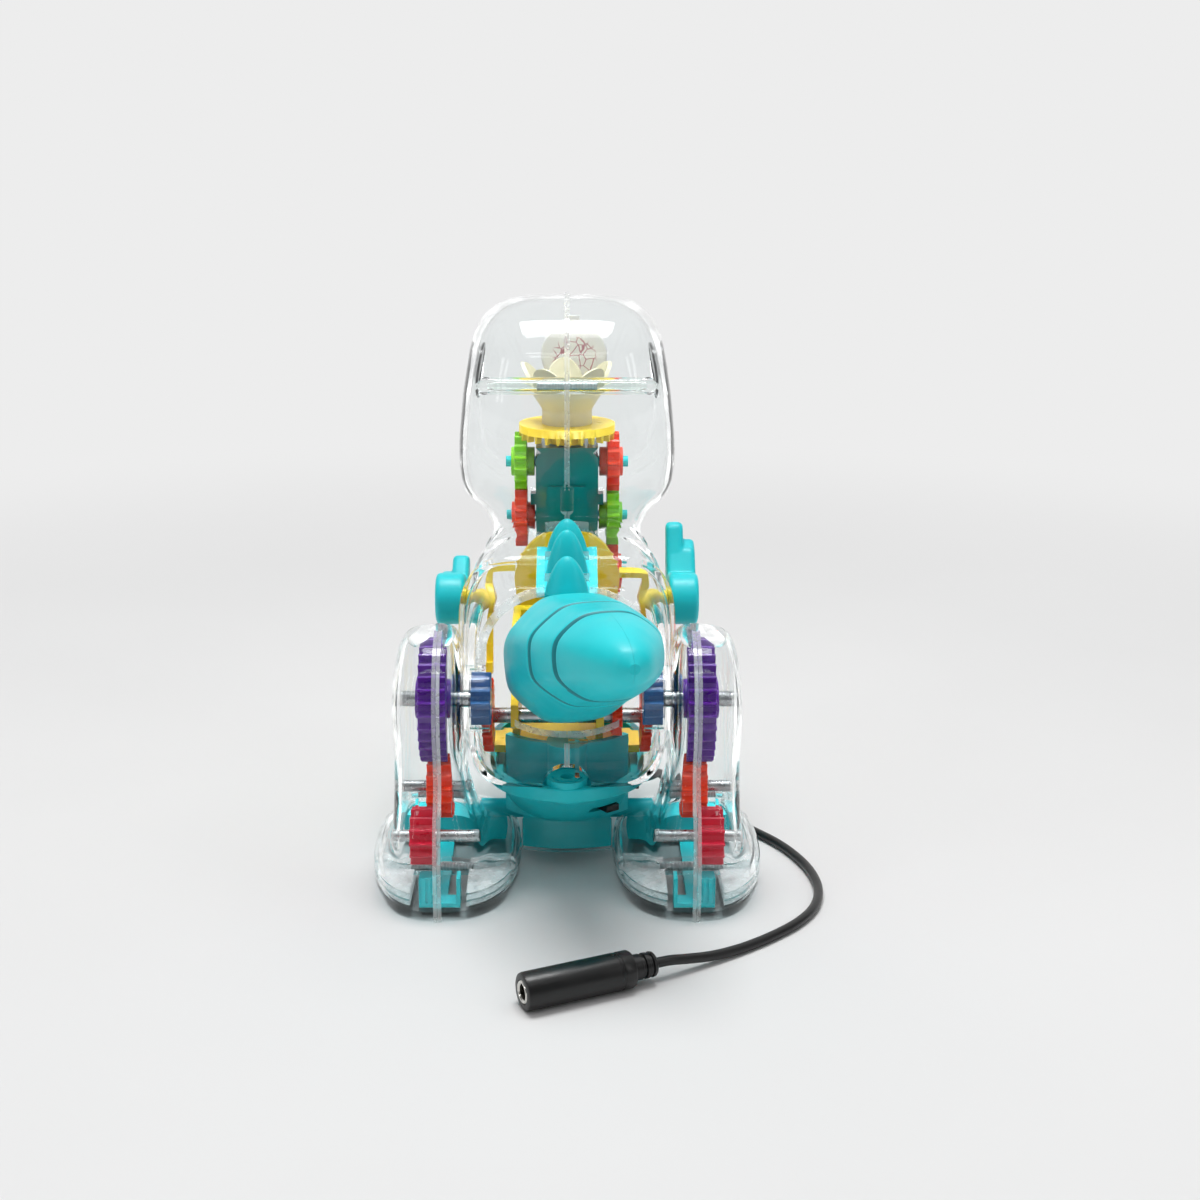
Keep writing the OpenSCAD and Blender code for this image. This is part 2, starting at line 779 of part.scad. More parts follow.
module arm_lever_left() {
  color("gold") arm_lever(true, arm_left_up);
}

module arm_lever_right() {
  color("gold") arm_lever(false, arm_right_up);
}

// Tail
function tail_row(s) =
  let (up = polar(s[2], s[4] + 90))
  [s[0] + up[0], s[1] + up[1], s[0] - up[0], s[1] - up[1], s[3], 2.1];
tail_rows = refined([for (s = tail_spine) tail_row(s)], 2);
tail_insets = [
  for (i = [0:len(tail_rows) - 1]) i < len(tail_rows) - 3 ? tail_wall : tail_rows[i][4] * 0.8,
];

module swung() {
  translate([0, tail_at[0], 0]) rotate([0, 0, tail_yaw]) translate([0, -tail_at[0], 0]) children();
}

module tail_half(left) {
  swung() mirrored(left) trough_loft(tail_rows, tail_insets);
}

module tail_left() {
  color("turquoise") tail_half(true);
}

module tail_right() {
  color("turquoise") tail_half(false);
}

hub_h = 9.6;
hub_low = tail_at[1] - hub_h / 2;
yoke_h = 2.4;
yoke_half = shaft_r + 1.8;
yoke_gap = 0.4;

module tail_hub() {
  bar = tail_r - tail_wall - 0.5;
  color("gold") swung() difference() {
    union() {
      translate([0, tail_at[0], hub_low]) cylinder(r = 4.4, h = hub_h);
      translate([-bar, tail_at[0] - 1, tail_at[1] - 1]) cube([2 * bar, 6, 3]);
    }
    translate([0, tail_at[0], 0]) cylinder(r = shaft_r + run_gap, h = far);
  }
}

module tail_pin() {
  color("silver") translate([0, tail_at[0], hub_low - yoke_gap - yoke_h - 1])
    cylinder(r = shaft_r, h = hub_h + 2 * (yoke_gap + yoke_h) + 2);
}

// Frame that carries the gear train and the tail
module plate_outline() {
  polygon([
    [15.9, 38.2], [8.2, 35.6], [7, rim_z + 2], [-21, rim_z + 2], [-29, 40], [-37.5, 46],
    [-37.5, motor[1] - 6], [-20, motor[1] - 6], [-19.5, 62], [8, 62], [8, 47.4], [15.9, 45],
  ]);
}

module frame_plate(x) {
  along_x(x, x + plate_w) plate_outline();
}

module cross_block(y0, y1, z0, z1, x0 = plate_right, x1 = plate_left + plate_w) {
  translate([x0, y0, z0]) cube([x1 - x0, y1 - y0, z1 - z0]);
}

module mechanism_frame() {
  color("gold") difference() {
    union() {
      frame_plate(plate_right);
      frame_plate(plate_left);
      cross_block(4, 8, 46, 62);
      cross_block(-19.5, -15, 56, 62);
      cross_block(-19.5, -15, 61, idler[1] + 5, -5, 5);
      cross_block(-37.5, -20, motor[1] - 9, motor[1] - 6);
      cross_block(-8, 8, rim_z + 2, rim_z + 4);
      for (z = [hub_low - yoke_gap - yoke_h, hub_low + hub_h + yoke_gap])
        cross_block(4, tail_at[0] + 4, z, z + yoke_h, -yoke_half, yoke_half);
      cross_block(4, 8, 60, hub_low + hub_h + yoke_gap + yoke_h, -yoke_half, yoke_half);
      cross_block(-6, 6, rim_z, rim_z + 2.2, -rim_half + 1.6, rim_half - 1.6);
    }
    translate([0, tail_at[0], 0]) cylinder(r = shaft_r + press_gap, h = far);
    rod_x(cross, shaft_r + run_gap, -far, far);
    for (p = [rear, front]) rod_x(p, spindle_r + press_gap, -far, 0);
    translate([0, -8, idler[1]]) rotate([90, 0, 0]) cylinder(r = shaft_r + press_gap, h = far);
  }
}

module neck_gearbox() {
  color("darkcyan") difference() {
    union() {
      translate([-tower_half, tower_front, tower_foot])
        cube([2 * tower_half, tower_rear - tower_front, tower_top - tower_foot]);
      translate([-lug_half, tower_rear - eps, lower[1]]) cube([2 * lug_half, lug_l, lug_h]);
      translate([-tower_half - peg_l, tower_rear - 6, lower[1] + 4.2])
        cube([2 * (tower_half + peg_l), 4, 3]);
    }
    for (p = [idler, lower, upper]) rod_x(p, spindle_r + press_gap, -far, far);
    translate([0, upper[0], tower_top - 2.6]) cylinder(r = shaft_r + press_gap, h = far);
    for (s = [-1, 1]) translate([s * (tower_half + 1.4), 0, tower_top - 1.4])
      rotate([0, 45, 0]) cube([4, far, 4], center = true);
  }
}

module gear_spindles() {
  color("turquoise") union() {
    for (p = [lower, upper]) rod_x(p, spindle_r, -17, 17);
    rod_x(idler, spindle_r, -17, tower_half);
    for (p = [rear, front]) rod_x(p, spindle_r, -16, plate_right + plate_w);
    translate([0, upper[0], tower_top - 2.6]) cylinder(r = shaft_r, h = 10);
    translate([0, -15, idler[1]]) rotate([90, 0, 0]) cylinder(r = shaft_r, h = 12.4);
  }
}

// Neck train
module neck_gear(at, teeth, turn, left) {
  x = left ? neck_x : -neck_x - neck_gear_w;
  spur_gear(at, teeth, turn, x, x + neck_gear_w, spindle_r + run_gap,
    4, left ? tower_half + part_gap : x - 1, left ? x + neck_gear_w + 1 : -tower_half - part_gap);
}

module upper_gear_left() {
  color("yellowgreen") neck_gear(upper, upper_teeth, upper_left_turn, true);
}

module upper_gear_right() {
  color("orangered") neck_gear(upper, upper_teeth, upper_right_turn, false);
}

module lower_gear_left() {
  color("orangered") neck_gear(lower, lower_teeth, lower_left_turn, true);
}

module lower_gear_right() {
  color("yellowgreen") neck_gear(lower, lower_teeth, lower_right_turn, false);
}

module idler_gear() {
  color("orangered") neck_gear(idler, idler_teeth, idler_turn, false);
}

module crown_gear() {
  color("gold") translate([0, upper[0], crown_z])
    crown_body(180 / crown_teeth, pitch_r(crown_teeth) + 0.8, 2.2, 5, 2.2, shaft_r + run_gap);
}

module lamp_cup() {
  base = crown_z + tooth_foot + 2.2;
  color("wheat") translate([0, upper[0], base]) difference() {
    rotate_extrude() polygon([
      [3.6, 0], [6.9, 0], [6.9, 4], [9.6, 8], [12.6, 16.4], [11.3, 16.4], [8.4, 8.6], [5.7, 4.6],
      [5.7, 1.4], [3.6, 1.4],
    ]);
    for (i = [0:4]) rotate([0, 0, 36 + i * 72]) rotate([90, 0, 90]) linear_extrude(20)
      polygon([[0, 7], [4, 17], [-4, 17]]);
  }
}

module head_lamp() {
  color("white") translate([0, upper[0], tower_top + 7.4]) union() {
    cylinder(r = 2.5, h = 4.6);
    translate([0, 0, 4.6]) sphere(2.5);
  }
}

module lamp_reflector() {
  color("white") translate([-2, -52, 126.6]) rotate([90, 0, 0]) union() {
    cylinder(r = 9.4, h = 1.4);
    translate([-1.5, 6, 0]) cube([3, 5.2, 1.4]);
  }
}

// The disc turns about Y, with its teeth towards the neck
module crank_disc() {
  color("gold") translate([0, disc_y, idler[1]]) rotate([-90, 0, 0]) union() {
    crown_body(180 + 180 / crown_teeth, pitch_r(crown_teeth) + 2, 2.6, 5, 0, shaft_r + run_gap);
    translate([0, 9, tooth_foot + 2.6 - eps]) cylinder(r = 1.6, h = 1.8);
  }
}

module motor_pinion() {
  color("white") spur_gear(motor, motor_teeth, motor_turn, -neck_x - neck_gear_w, -neck_x,
    spindle_r + run_gap);
}

module drive_motor() {
  color("silver") union() {
    translate([motor_x, motor[0] - motor_size[1] / 2, motor[1] - motor_size[2] / 2])
      cube(motor_size);
    rod_x(motor, spindle_r, -neck_x - neck_gear_w - 0.6, motor_x + eps);
  }
}

// Leg drive
module transfer_gear(at, turn) {
  spur_gear(at, transfer_teeth, turn, -transfer_x - transfer_w, -transfer_x,
    spindle_r + run_gap, 3.4, -transfer_x - transfer_w, plate_right - part_gap);
}

module transfer_gear_front() {
  color("orangered") transfer_gear(front, front_turn);
}

module transfer_gear_rear() {
  color("orangered") transfer_gear(rear, rear_turn);
}

module drive_gears() {
  color("orangered") {
    spur_gear(cross, cross_teeth, cross_turn, -transfer_x - transfer_w, -transfer_x,
      shaft_r + press_gap);
    for (x = [drive_x, -drive_x - drive_w])
      spur_gear(cross, drive_teeth, drive_turn, x, x + drive_w, shaft_r + press_gap);
  }
}

module cross_shaft() {
  color("silver") rod_x(cross, shaft_r, -drive_x - drive_w, drive_x + drive_w);
}

module hip_hub(left) {
  mirrored(left) spur_gear(hip, hub_teeth, hub_turn, hub_x0, hub_x1, shaft_r + press_gap);
}

module hip_hub_left() {
  color("royalblue") hip_hub(true);
}

module hip_hub_right() {
  color("royalblue") hip_hub(false);
}

module hip_shaft_left() {
  color("silver") rod_x(hip, shaft_r, hub_x0, shaft_end);
}

module hip_shaft_right() {
  color("silver") rod_x(hip, shaft_r, -shaft_end, -hub_x0);
}

module thigh_gear(left) {
  mirrored(left) difference() {
    spur_gear(hip, thigh_teeth, thigh_turn, thigh_x, thigh_x + thigh_gear_w,
      shaft_r + press_gap, 5, leg_seam - 4, thigh_x + thigh_gear_w + 1.4);
    along_x(thigh_x + thigh_gear_w - 1.4, far) translate(hip) difference() {
      circle(11.6);
      circle(5);
    }
  }
}

module thigh_gear_left() {
  color("rebeccapurple") thigh_gear(true);
}

module thigh_gear_right() {
  color("rebeccapurple") thigh_gear(false);
}

module knee_gear(left) {
  mirrored(left) spur_gear(knee, knee_teeth, knee_turn, knee_x + 1, knee_x + 1 + knee_gear_w,
    spindle_r + run_gap);
}

module knee_gear_left() {
  color("orangered") knee_gear(true);
}

module knee_gear_right() {
  color("orangered") knee_gear(false);
}

module ankle_gear(left) {
  mirrored(left) spur_gear(ankle, ankle_teeth, ankle_turn, ankle_x, ankle_x + ankle_gear_w,
    spindle_r + run_gap);
}

module ankle_gear_left() {
  color("crimson") ankle_gear(true);
}

module ankle_gear_right() {
  color("crimson") ankle_gear(false);
}

module leg_pins() {
  color("silver") for (left = [true, false]) mirrored(left) {
    rod_x(knee, spindle_r, leg_seam - 7.6, leg_seam + 10.4);
    rod_x(ankle, spindle_r, leg_seam - 10, leg_seam + 11.4);
  }
}

// Trim and fasteners
module at_eye() {
  translate([eye_x, eye_at[0], eye_at[1]]) rotate([0, 90 - eye_tilt, 0]) children();
}

module eyes() {
  color("black") for (left = [true, false]) mirrored(left) at_eye() rotate_extrude() polygon([
    [0, 0], [eye_r, 0], [eye_r, 1.2], [7, 1.7], [5, 2.2], [2.6, 2.5], [0, 2.6],
  ]);
}

module screw_x(at, x, l) {
  rod_x(at, screw_r, x, x + l);
}

module case_screws() {
  color("silver") {
    screw_x(head_boss, -8, 16);
    for (left = [true, false]) mirrored(left) {
      screw_x(foot_boss, leg_seam - 8, 16);
      screw_x(shin_boss, leg_seam - 7, 14);
    }
    translate([0, box_rear - 4, box_z - 0.6]) union() {
      cylinder(r = screw_r, h = 3.4);
      cylinder(r = screw_head_r, h = 0.6);
    }
  }
}

// Lead and jack
module cord_grommet() {
  at = [exit_at[1], exit_at[2]];
  color("black") difference() {
    union() {
      rod_x(at, lead_d / 2 + 0.9, exit_at[0] - 1, exit_at[0] + 3.4);
      rod_x(at, lead_d / 2 + 1.8, exit_at[0] - 0.8, exit_at[0] + 0.2);
    }
    rod_x(at, lead_d / 2 + 0.1, -far, 0);
  }
}

module swept_tube(path, r, sides = 8) {
  last = len(path) - 1;
  points = [
    for (i = [0:last])
      let (way = path[min(i + 1, last)] - path[max(i - 1, 0)])
      let (t = way / norm(way), side = cross_of(t, [0, 0, 1]), u = side / norm(side))
      let (v = cross_of(t, u))
      for (j = [0:sides - 1])
        path[i] + r * (u * cos(j * 360 / sides) + v * sin(j * 360 / sides)),
  ];
  polyhedron(points, lofted_faces(last + 1, sides), convexity = 8);
}

function cross_of(a, b) = [
  a[1] * b[2] - a[2] * b[1],
  a[2] * b[0] - a[0] * b[2],
  a[0] * b[1] - a[1] * b[0],
];

module switch_lead() {
  color("black") swept_tube(refined(lead_points, 2), lead_d / 2);
}

module at_jack() {
  translate(jack_at) rotate([0, 0, jack_turn]) rotate([90, 0, 90]) children();
}

module jack_body() {
  color("black") at_jack() difference() {
    union() {
      cylinder(d = 6, h = stub_l + eps);
      translate([0, 0, stub_l]) cylinder(d = jack_d, h = jack_l);
    }
    translate([0, 0, -1]) cylinder(d = lead_d + 0.1, h = 4);
    translate([0, 0, stub_l + jack_l - jack_depth - 1]) cylinder(d = 5.6, h = far);
  }
}

module jack_sleeve() {
  color("silver") at_jack() translate([0, 0, stub_l + jack_l - jack_depth - 1]) difference() {
    cylinder(d = 5.6 - 2 * press_gap, h = jack_depth + 1);
    translate([0, 0, 1]) cylinder(d = jack_bore, h = far);
  }
}

shell_left();
shell_right();
leg_left_outer();
leg_left_inner();
leg_right_outer();
leg_right_inner();
base_skirt();
base_tub();
battery_door();
back_spikes();
arm_left();
arm_right();
tail_left();
tail_right();
foot_left();
foot_right();
neck_gearbox();
gear_spindles();
crown_gear();
lamp_cup();
upper_gear_left();
upper_gear_right();
lower_gear_left();
lower_gear_right();
idler_gear();
crank_disc();
motor_pinion();
transfer_gear_front();
transfer_gear_rear();
drive_gears();
cross_shaft();
hip_hub_left();
hip_hub_right();
hip_shaft_left();
hip_shaft_right();
thigh_gear_left();
thigh_gear_right();
knee_gear_left();
knee_gear_right();
ankle_gear_left();
ankle_gear_right();
leg_pins();
mechanism_frame();
arm_lever_left();
arm_lever_right();
tail_hub();
tail_pin();
drive_motor();
circuit_board();
battery_cells();
head_lamp();
lamp_reflector();
eyes();
case_screws();
power_switch();
cord_grommet();
switch_lead();
jack_body();
jack_sleeve();
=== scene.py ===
import json
import math
import bpy
import numpy as np
from mathutils import Matrix, Vector


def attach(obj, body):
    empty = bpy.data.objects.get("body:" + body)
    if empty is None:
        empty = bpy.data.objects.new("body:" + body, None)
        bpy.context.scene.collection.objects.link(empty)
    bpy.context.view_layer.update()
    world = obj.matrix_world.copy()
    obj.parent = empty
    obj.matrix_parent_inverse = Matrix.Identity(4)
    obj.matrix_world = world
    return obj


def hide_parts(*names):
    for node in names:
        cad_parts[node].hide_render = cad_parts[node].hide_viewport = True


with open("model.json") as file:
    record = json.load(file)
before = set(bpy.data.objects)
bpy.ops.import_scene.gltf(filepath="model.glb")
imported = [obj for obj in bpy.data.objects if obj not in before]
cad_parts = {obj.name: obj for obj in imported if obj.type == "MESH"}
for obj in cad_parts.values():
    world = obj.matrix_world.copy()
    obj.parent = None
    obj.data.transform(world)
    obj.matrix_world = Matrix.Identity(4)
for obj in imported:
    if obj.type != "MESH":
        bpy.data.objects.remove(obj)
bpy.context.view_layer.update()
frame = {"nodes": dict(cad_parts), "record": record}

scene = bpy.context.scene
nodes = frame["nodes"]
mm = 0.001

# Camera: behind the toy, raised, with the toy's middle plane a little left of the frame's middle.
view = {"place": (0.0, 0.45, 0.195), "dip": 15.65, "lens": 53.1, "sensor": 36.0, "shift": 0.0275, "near": 0.01}
cameraData = bpy.data.cameras.new("camera")
camera = bpy.data.objects.new("camera", cameraData)
scene.collection.objects.link(camera)
camera.location = view["place"]
camera.rotation_euler = (math.radians(90 - view["dip"]), 0.0, math.radians(180))
cameraData.lens = view["lens"]
cameraData.sensor_width = view["sensor"]
cameraData.shift_x = view["shift"]
cameraData.clip_start = view["near"]
scene.camera = camera
print("camera made")


def hexColour(code):
    c = np.array([int(code[i:i + 2], 16) for i in (1, 3, 5)]) / 255.0
    c = np.where(c <= 0.04045, c / 12.92, ((c + 0.055) / 1.055) ** 2.4)
    return (*c.tolist(), 1.0)


def addNode(tree, kind, values=None, links=None, **settings):
    node = tree.nodes.new(kind)
    for key, value in settings.items():
        setattr(node, key, value)
    for key, value in (values or {}).items():
        node.inputs[key].default_value = value
    for key, source in (links or {}).items():
        tree.links.new(source, node.inputs[key])
    return node


def newMaterial(name):
    material = bpy.data.materials.new(name)
    material.use_nodes = True
    tree = material.node_tree
    tree.nodes.clear()
    output = addNode(tree, "ShaderNodeOutputMaterial")
    coords = addNode(tree, "ShaderNodeTexCoord").outputs["Object"]
    return material, tree, output, coords


def noiseOf(tree, coords, scale, detail=3.0, roughness=0.5):
    return addNode(tree, "ShaderNodeTexNoise", {"Scale": scale, "Detail": detail, "Roughness": roughness},
                   {"Vector": coords}).outputs["Fac"]


def remap(tree, source, fromLow, fromHigh, toLow=0.0, toHigh=1.0, **settings):
    return addNode(tree, "ShaderNodeMapRange",
                   {"From Min": fromLow, "From Max": fromHigh, "To Min": toLow, "To Max": toHigh},
                   {"Value": source}, **settings).outputs["Result"]


def spread(tree, source, low, high):
    # Most of a noise lies between 0.3 and 0.7.
    return remap(tree, source, 0.3, 0.7, low, high)


def bumpOf(tree, height, strength, distance):
    return addNode(tree, "ShaderNodeBump", {"Strength": strength, "Distance": distance},
                   {"Height": height}).outputs["Normal"]


def mathOf(tree, kind, first, second):
    return addNode(tree, "ShaderNodeMath", links={0: first, 1: second}, operation=kind).outputs[0]


def distanceTo(tree, coords, centre):
    return addNode(tree, "ShaderNodeVectorMath", {1: centre}, {0: coords}, operation="DISTANCE").outputs["Value"]


def twoTone(tree, source, dark, light):
    mix = addNode(tree, "ShaderNodeMix", links={0: source}, data_type="RGBA")
    mix.inputs[6].default_value = hexColour(dark)
    mix.inputs[7].default_value = hexColour(light)
    return mix.outputs[2]


def mouldedPlastic(name, dark, light, rough=(0.28, 0.4), grain=1400.0, depth=0.05, scatter=0.0):
    # Coloured moulding: slow colour drift, uneven gloss and a fine spark-eroded grain.
    material, tree, output, coords = newMaterial(name)
    colour = twoTone(tree, spread(tree, noiseOf(tree, coords, 55.0), 0.0, 1.0), dark, light)
    gloss = spread(tree, noiseOf(tree, coords, 210.0, 4.0), *rough)
    bump = bumpOf(tree, noiseOf(tree, coords, grain, 2.0), depth, 0.0002)
    shader = addNode(tree, "ShaderNodeBsdfPrincipled",
                     {"IOR": 1.5, "Subsurface Weight": scatter, "Subsurface Radius": (0.002, 0.002, 0.002)},
                     {"Base Color": colour, "Roughness": gloss, "Normal": bump})
    tree.links.new(shader.outputs[0], output.inputs["Surface"])
    return material


def clearPlastic(name, tint, rough=0.02, ior=1.07, wave=0.05):
    # Clear moulding with faint flow waves; its thin wall bends light little and shines like a coat.
    material, tree, output, coords = newMaterial(name)
    bump = bumpOf(tree, noiseOf(tree, coords, 70.0, 2.0), wave, 0.001)
    gloss = spread(tree, noiseOf(tree, coords, 160.0, 3.0), rough * 0.4, rough * 1.6)
    shader = addNode(tree, "ShaderNodeBsdfPrincipled",
                     {"Base Color": hexColour(tint), "Transmission Weight": 1.0, "IOR": ior,
                      "Coat Weight": 1.0, "Coat IOR": 1.32, "Coat Roughness": rough},
                     {"Roughness": gloss, "Normal": bump, "Coat Normal": bump})
    lightThrough(tree, output, shader, "#EEF3F4")
    return material


def lightThrough(tree, output, shader, shade):
    # Light reaches through clear plastic without bending.
    through = addNode(tree, "ShaderNodeBsdfTransparent", {"Color": hexColour(shade)})
    mix = addNode(tree, "ShaderNodeMixShader",
                  links={0: addNode(tree, "ShaderNodeLightPath").outputs["Is Shadow Ray"],
                         1: shader.outputs[0], 2: through.outputs[0]})
    tree.links.new(mix.outputs[0], output.inputs["Surface"])


def bareMetal(name, dark, light, rough=(0.22, 0.38), thread=0.0):
    # Metal with uneven gloss; a thread is a ripple along X of the given turns per metre.
    material, tree, output, coords = newMaterial(name)
    colour = twoTone(tree, spread(tree, noiseOf(tree, coords, 300.0), 0.0, 1.0), dark, light)
    gloss = spread(tree, noiseOf(tree, coords, 900.0, 4.0), *rough)
    shader = addNode(tree, "ShaderNodeBsdfPrincipled", {"Metallic": 1.0},
                     {"Base Color": colour, "Roughness": gloss})
    if thread:
        wave = addNode(tree, "ShaderNodeTexWave", {"Scale": thread}, {"Vector": coords}, bands_direction="X")
        tree.links.new(bumpOf(tree, wave.outputs["Fac"], 0.3, 0.0004), shader.inputs["Normal"])
    tree.links.new(shader.outputs[0], output.inputs["Surface"])
    return material


def frostedEdge(name, tint, clear):
    # Cut and mating edges of a clear moulding: partly clear, partly white scatter, with fine grain.
    material, tree, output, coords = newMaterial(name)
    gloss = spread(tree, noiseOf(tree, coords, 400.0, 3.0), 0.15, 0.4)
    bump = bumpOf(tree, noiseOf(tree, coords, 500.0, 2.0), 0.2, 0.0004)
    shader = addNode(tree, "ShaderNodeBsdfPrincipled",
                     {"Base Color": hexColour(tint), "Transmission Weight": clear, "IOR": 1.2,
                      "Coat Weight": 1.0}, {"Roughness": gloss, "Normal": bump})
    lightThrough(tree, output, shader, "#E8EEEE")
    return material


clearShell = clearPlastic("clearPolystyrene", "#FBFDFD")
clearEdge = frostedEdge("clearPolystyreneEdge", "#F8FBFA", 0.65)
shelfEdge = frostedEdge("clearPolystyreneRib", "#FBFDFD", 0.3)
clearThick = clearPlastic("clearPolystyreneThick", "#F6FBF9", 0.02, 1.36, 0.1)
# Darker teal for the tail grooves: painted shade where less light falls into a groove.
grooveShadeTeal = mouldedPlastic("tealAbsGroove", "#05818B", "#078C96", (0.4, 0.5), 1600.0, 0.05)
tealAbs = mouldedPlastic("tealAbs", "#0CD0DA", "#16DAE2", (0.34, 0.46), 1600.0, 0.05, 0.05)
darkTeal = mouldedPlastic("darkTealPolypropylene", "#026C6A", "#047A74", (0.1, 0.18))
yellowAcetal = mouldedPlastic("yellowAcetal", "#FFD414", "#FFE13C", (0.26, 0.38), 1400.0, 0.04, 0.05)
limeAcetal = mouldedPlastic("limeAcetal", "#84D400", "#94E00A", (0.26, 0.38), 1400.0, 0.04, 0.05)
orangeAcetal = mouldedPlastic("orangeRedAcetal", "#FF3A0E", "#FF4B1E", (0.26, 0.38), 1400.0, 0.04, 0.05)
purpleAcetal = mouldedPlastic("purpleAcetal", "#52088A", "#640FA2", (0.24, 0.36), 1400.0, 0.04, 0.05)
crimsonAcetal = mouldedPlastic("crimsonAcetal", "#D00F32", "#E01E40", (0.26, 0.38), 1400.0, 0.04, 0.05)
creamPlastic = mouldedPlastic("creamPolypropylene", "#D8D0B0", "#E8E2CA", (0.35, 0.5), 1400.0, 0.04, 0.2)
blueAcetal = mouldedPlastic("blueAcetal", "#3B6CA6", "#4C7FB6", (0.24, 0.36))
whiteNylon = mouldedPlastic("whiteNylon", "#E2E2DC", "#EFEFEA", (0.35, 0.5))
blackRubber = mouldedPlastic("blackPvc", "#070708", "#0D0D0E", (0.3, 0.42), 2200.0, 0.1)
blackAbs = mouldedPlastic("blackAbs", "#070708", "#0E0E0F", (0.26, 0.4), 2200.0, 0.12)
eyeBlack = mouldedPlastic("eyeBlackAcrylic", "#08090A", "#101113", (0.06, 0.14), 900.0, 0.02)
boardGreen = mouldedPlastic("solderMask", "#0E5A2C", "#137038", (0.3, 0.45))
cellJacket = mouldedPlastic("cellJacketPvc", "#9EA3A8", "#B4B9BD", (0.18, 0.3))
groundSteel = bareMetal("groundSteel", "#A9ABAD", "#C9CBCC")
screwSteel = bareMetal("screwSteel", "#C6C9CB", "#E2E4E5", (0.4, 0.5), 400.0)
nickel = bareMetal("nickelPlate", "#BDBBB6", "#DAD8D2", (0.12, 0.24))
lampEpoxy = clearPlastic("clearEpoxy", "#F4F4EE", 0.04, 1.4, 0.02)


def sketchCard(name, paper, ink, cells, line, centre):
    # White card with a loose net of thin printed lines, the borders between scattered points, in a circle.
    material, tree, output, coords = newMaterial(name)
    shake = addNode(tree, "ShaderNodeTexNoise", {"Scale": 500.0}, {"Vector": coords}).outputs["Color"]
    bent = addNode(tree, "ShaderNodeVectorMath", {1: (0.0006, 0.0006, 0.0006)}, {0: shake, 2: coords},
                   operation="MULTIPLY_ADD").outputs["Vector"]
    net = addNode(tree, "ShaderNodeTexVoronoi", {"Scale": cells}, {"Vector": bent}, feature="DISTANCE_TO_EDGE")
    drawn = remap(tree, net.outputs["Distance"], line, line * 1.8, 1.0, 0.0)
    inside = remap(tree, distanceTo(tree, coords, centre), 0.0055, 0.0068, 0.8, 0.0)
    mask = mathOf(tree, "MULTIPLY", drawn, inside)
    gloss = spread(tree, noiseOf(tree, coords, 300.0), 0.35, 0.55)
    shader = addNode(tree, "ShaderNodeBsdfPrincipled",
                     links={"Base Color": twoTone(tree, mask, paper, ink), "Roughness": gloss})
    tree.links.new(shader.outputs[0], output.inputs["Surface"])
    return material


whiteCard = sketchCard("whitePolystyrene", "#F8F7F5", "#B04A68", 430.0, 0.03, (-0.002, -0.052, 0.1256))
materialOfSlot = {
    "clear_shell": clearShell, "teal": tealAbs, "dark_teal": darkTeal, "yellow": yellowAcetal,
    "cream": creamPlastic, "lime": limeAcetal, "orange_red": orangeAcetal, "white": whiteNylon,
    "purple": purpleAcetal, "crimson": crimsonAcetal, "blue": blueAcetal, "steel": groundSteel,
    "motor_steel": groundSteel, "board_green": boardGreen, "cell_jacket": cellJacket,
    "lamp_clear": lampEpoxy, "reflector_white": whiteCard, "eye_black": eyeBlack, "black": blackAbs,
    "cord_black": blackRubber, "jack_black": blackAbs, "jack_metal": nickel,
}
print("materials made")


def sealed(name, points, faces, smoothTo=35.0):
    mesh = bpy.data.meshes.new(name)
    mesh.from_pydata(np.asarray(points).tolist(), [], [list(f) for f in faces])
    mesh.update()
    piece = bpy.data.objects.new(name, mesh)
    scene.collection.objects.link(piece)
    finishNormals(mesh, smoothTo)
    return piece


def finishNormals(mesh, smoothTo):
    mesh.shade_smooth()
    mesh.set_sharp_from_angle(angle=math.radians(smoothTo))


def place(piece, body, slot, *replaced):
    piece.data.materials.clear()
    piece.data.materials.append(materialOfSlot[slot])
    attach(piece, body)
    if replaced:
        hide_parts(*replaced)
    return piece


def dress(piece, material, *picks):
    # Faces whose corners all pass a pick get a second material.
    piece.data.materials.append(material)
    points = np.array([v.co for v in piece.data.vertices]) / mm
    for face in piece.data.polygons:
        corners = points[list(face.vertices)]
        if any(pick(corners).all() for pick in picks):
            face.material_index = len(piece.data.materials) - 1


def fullTurn(n):
    return np.linspace(0, 2 * math.pi, n, endpoint=False)


def nearTo(values, target, within=0.03):
    return np.abs(values - target) < within


def ringFaces(rows, n):
    i, j = np.meshgrid(np.arange(rows - 1), np.arange(n), indexing="ij")
    k = (j + 1) % n
    quads = np.stack([i * n + j, i * n + k, (i + 1) * n + k, (i + 1) * n + j], -1).reshape(-1, 4)
    return quads.tolist() + [list(range(n))[::-1], [(rows - 1) * n + q for q in range(n)]]


def through(table, k):
    # Smooth curve through the rows of a table, k steps from each row to the next.
    s = np.asarray(table, float)
    p = np.vstack([s[:1], s, s[-1:]])
    t = (np.arange(k) / k)[None, :, None]
    a, b, c, d = (p[m:m + len(s) - 1, None, :] for m in range(4))
    steps = (2 * b + (c - a) * t + (2 * a - 5 * b + 4 * c - d) * t ** 2 + (3 * b - a - 3 * c + d) * t ** 3) / 2
    return np.vstack([steps.reshape(-1, s.shape[1]), s[-1:]])


def eightSided(c, s):
    # Radius of a rounded octagon: the (-1/m) power of the sum of |side normal . direction|^m.
    sides = (c, s, (c + s) * 0.5 ** 0.5, (c - s) * 0.5 ** 0.5)
    return sum(np.abs(q) ** 16 for q in sides) ** (-1 / 16)


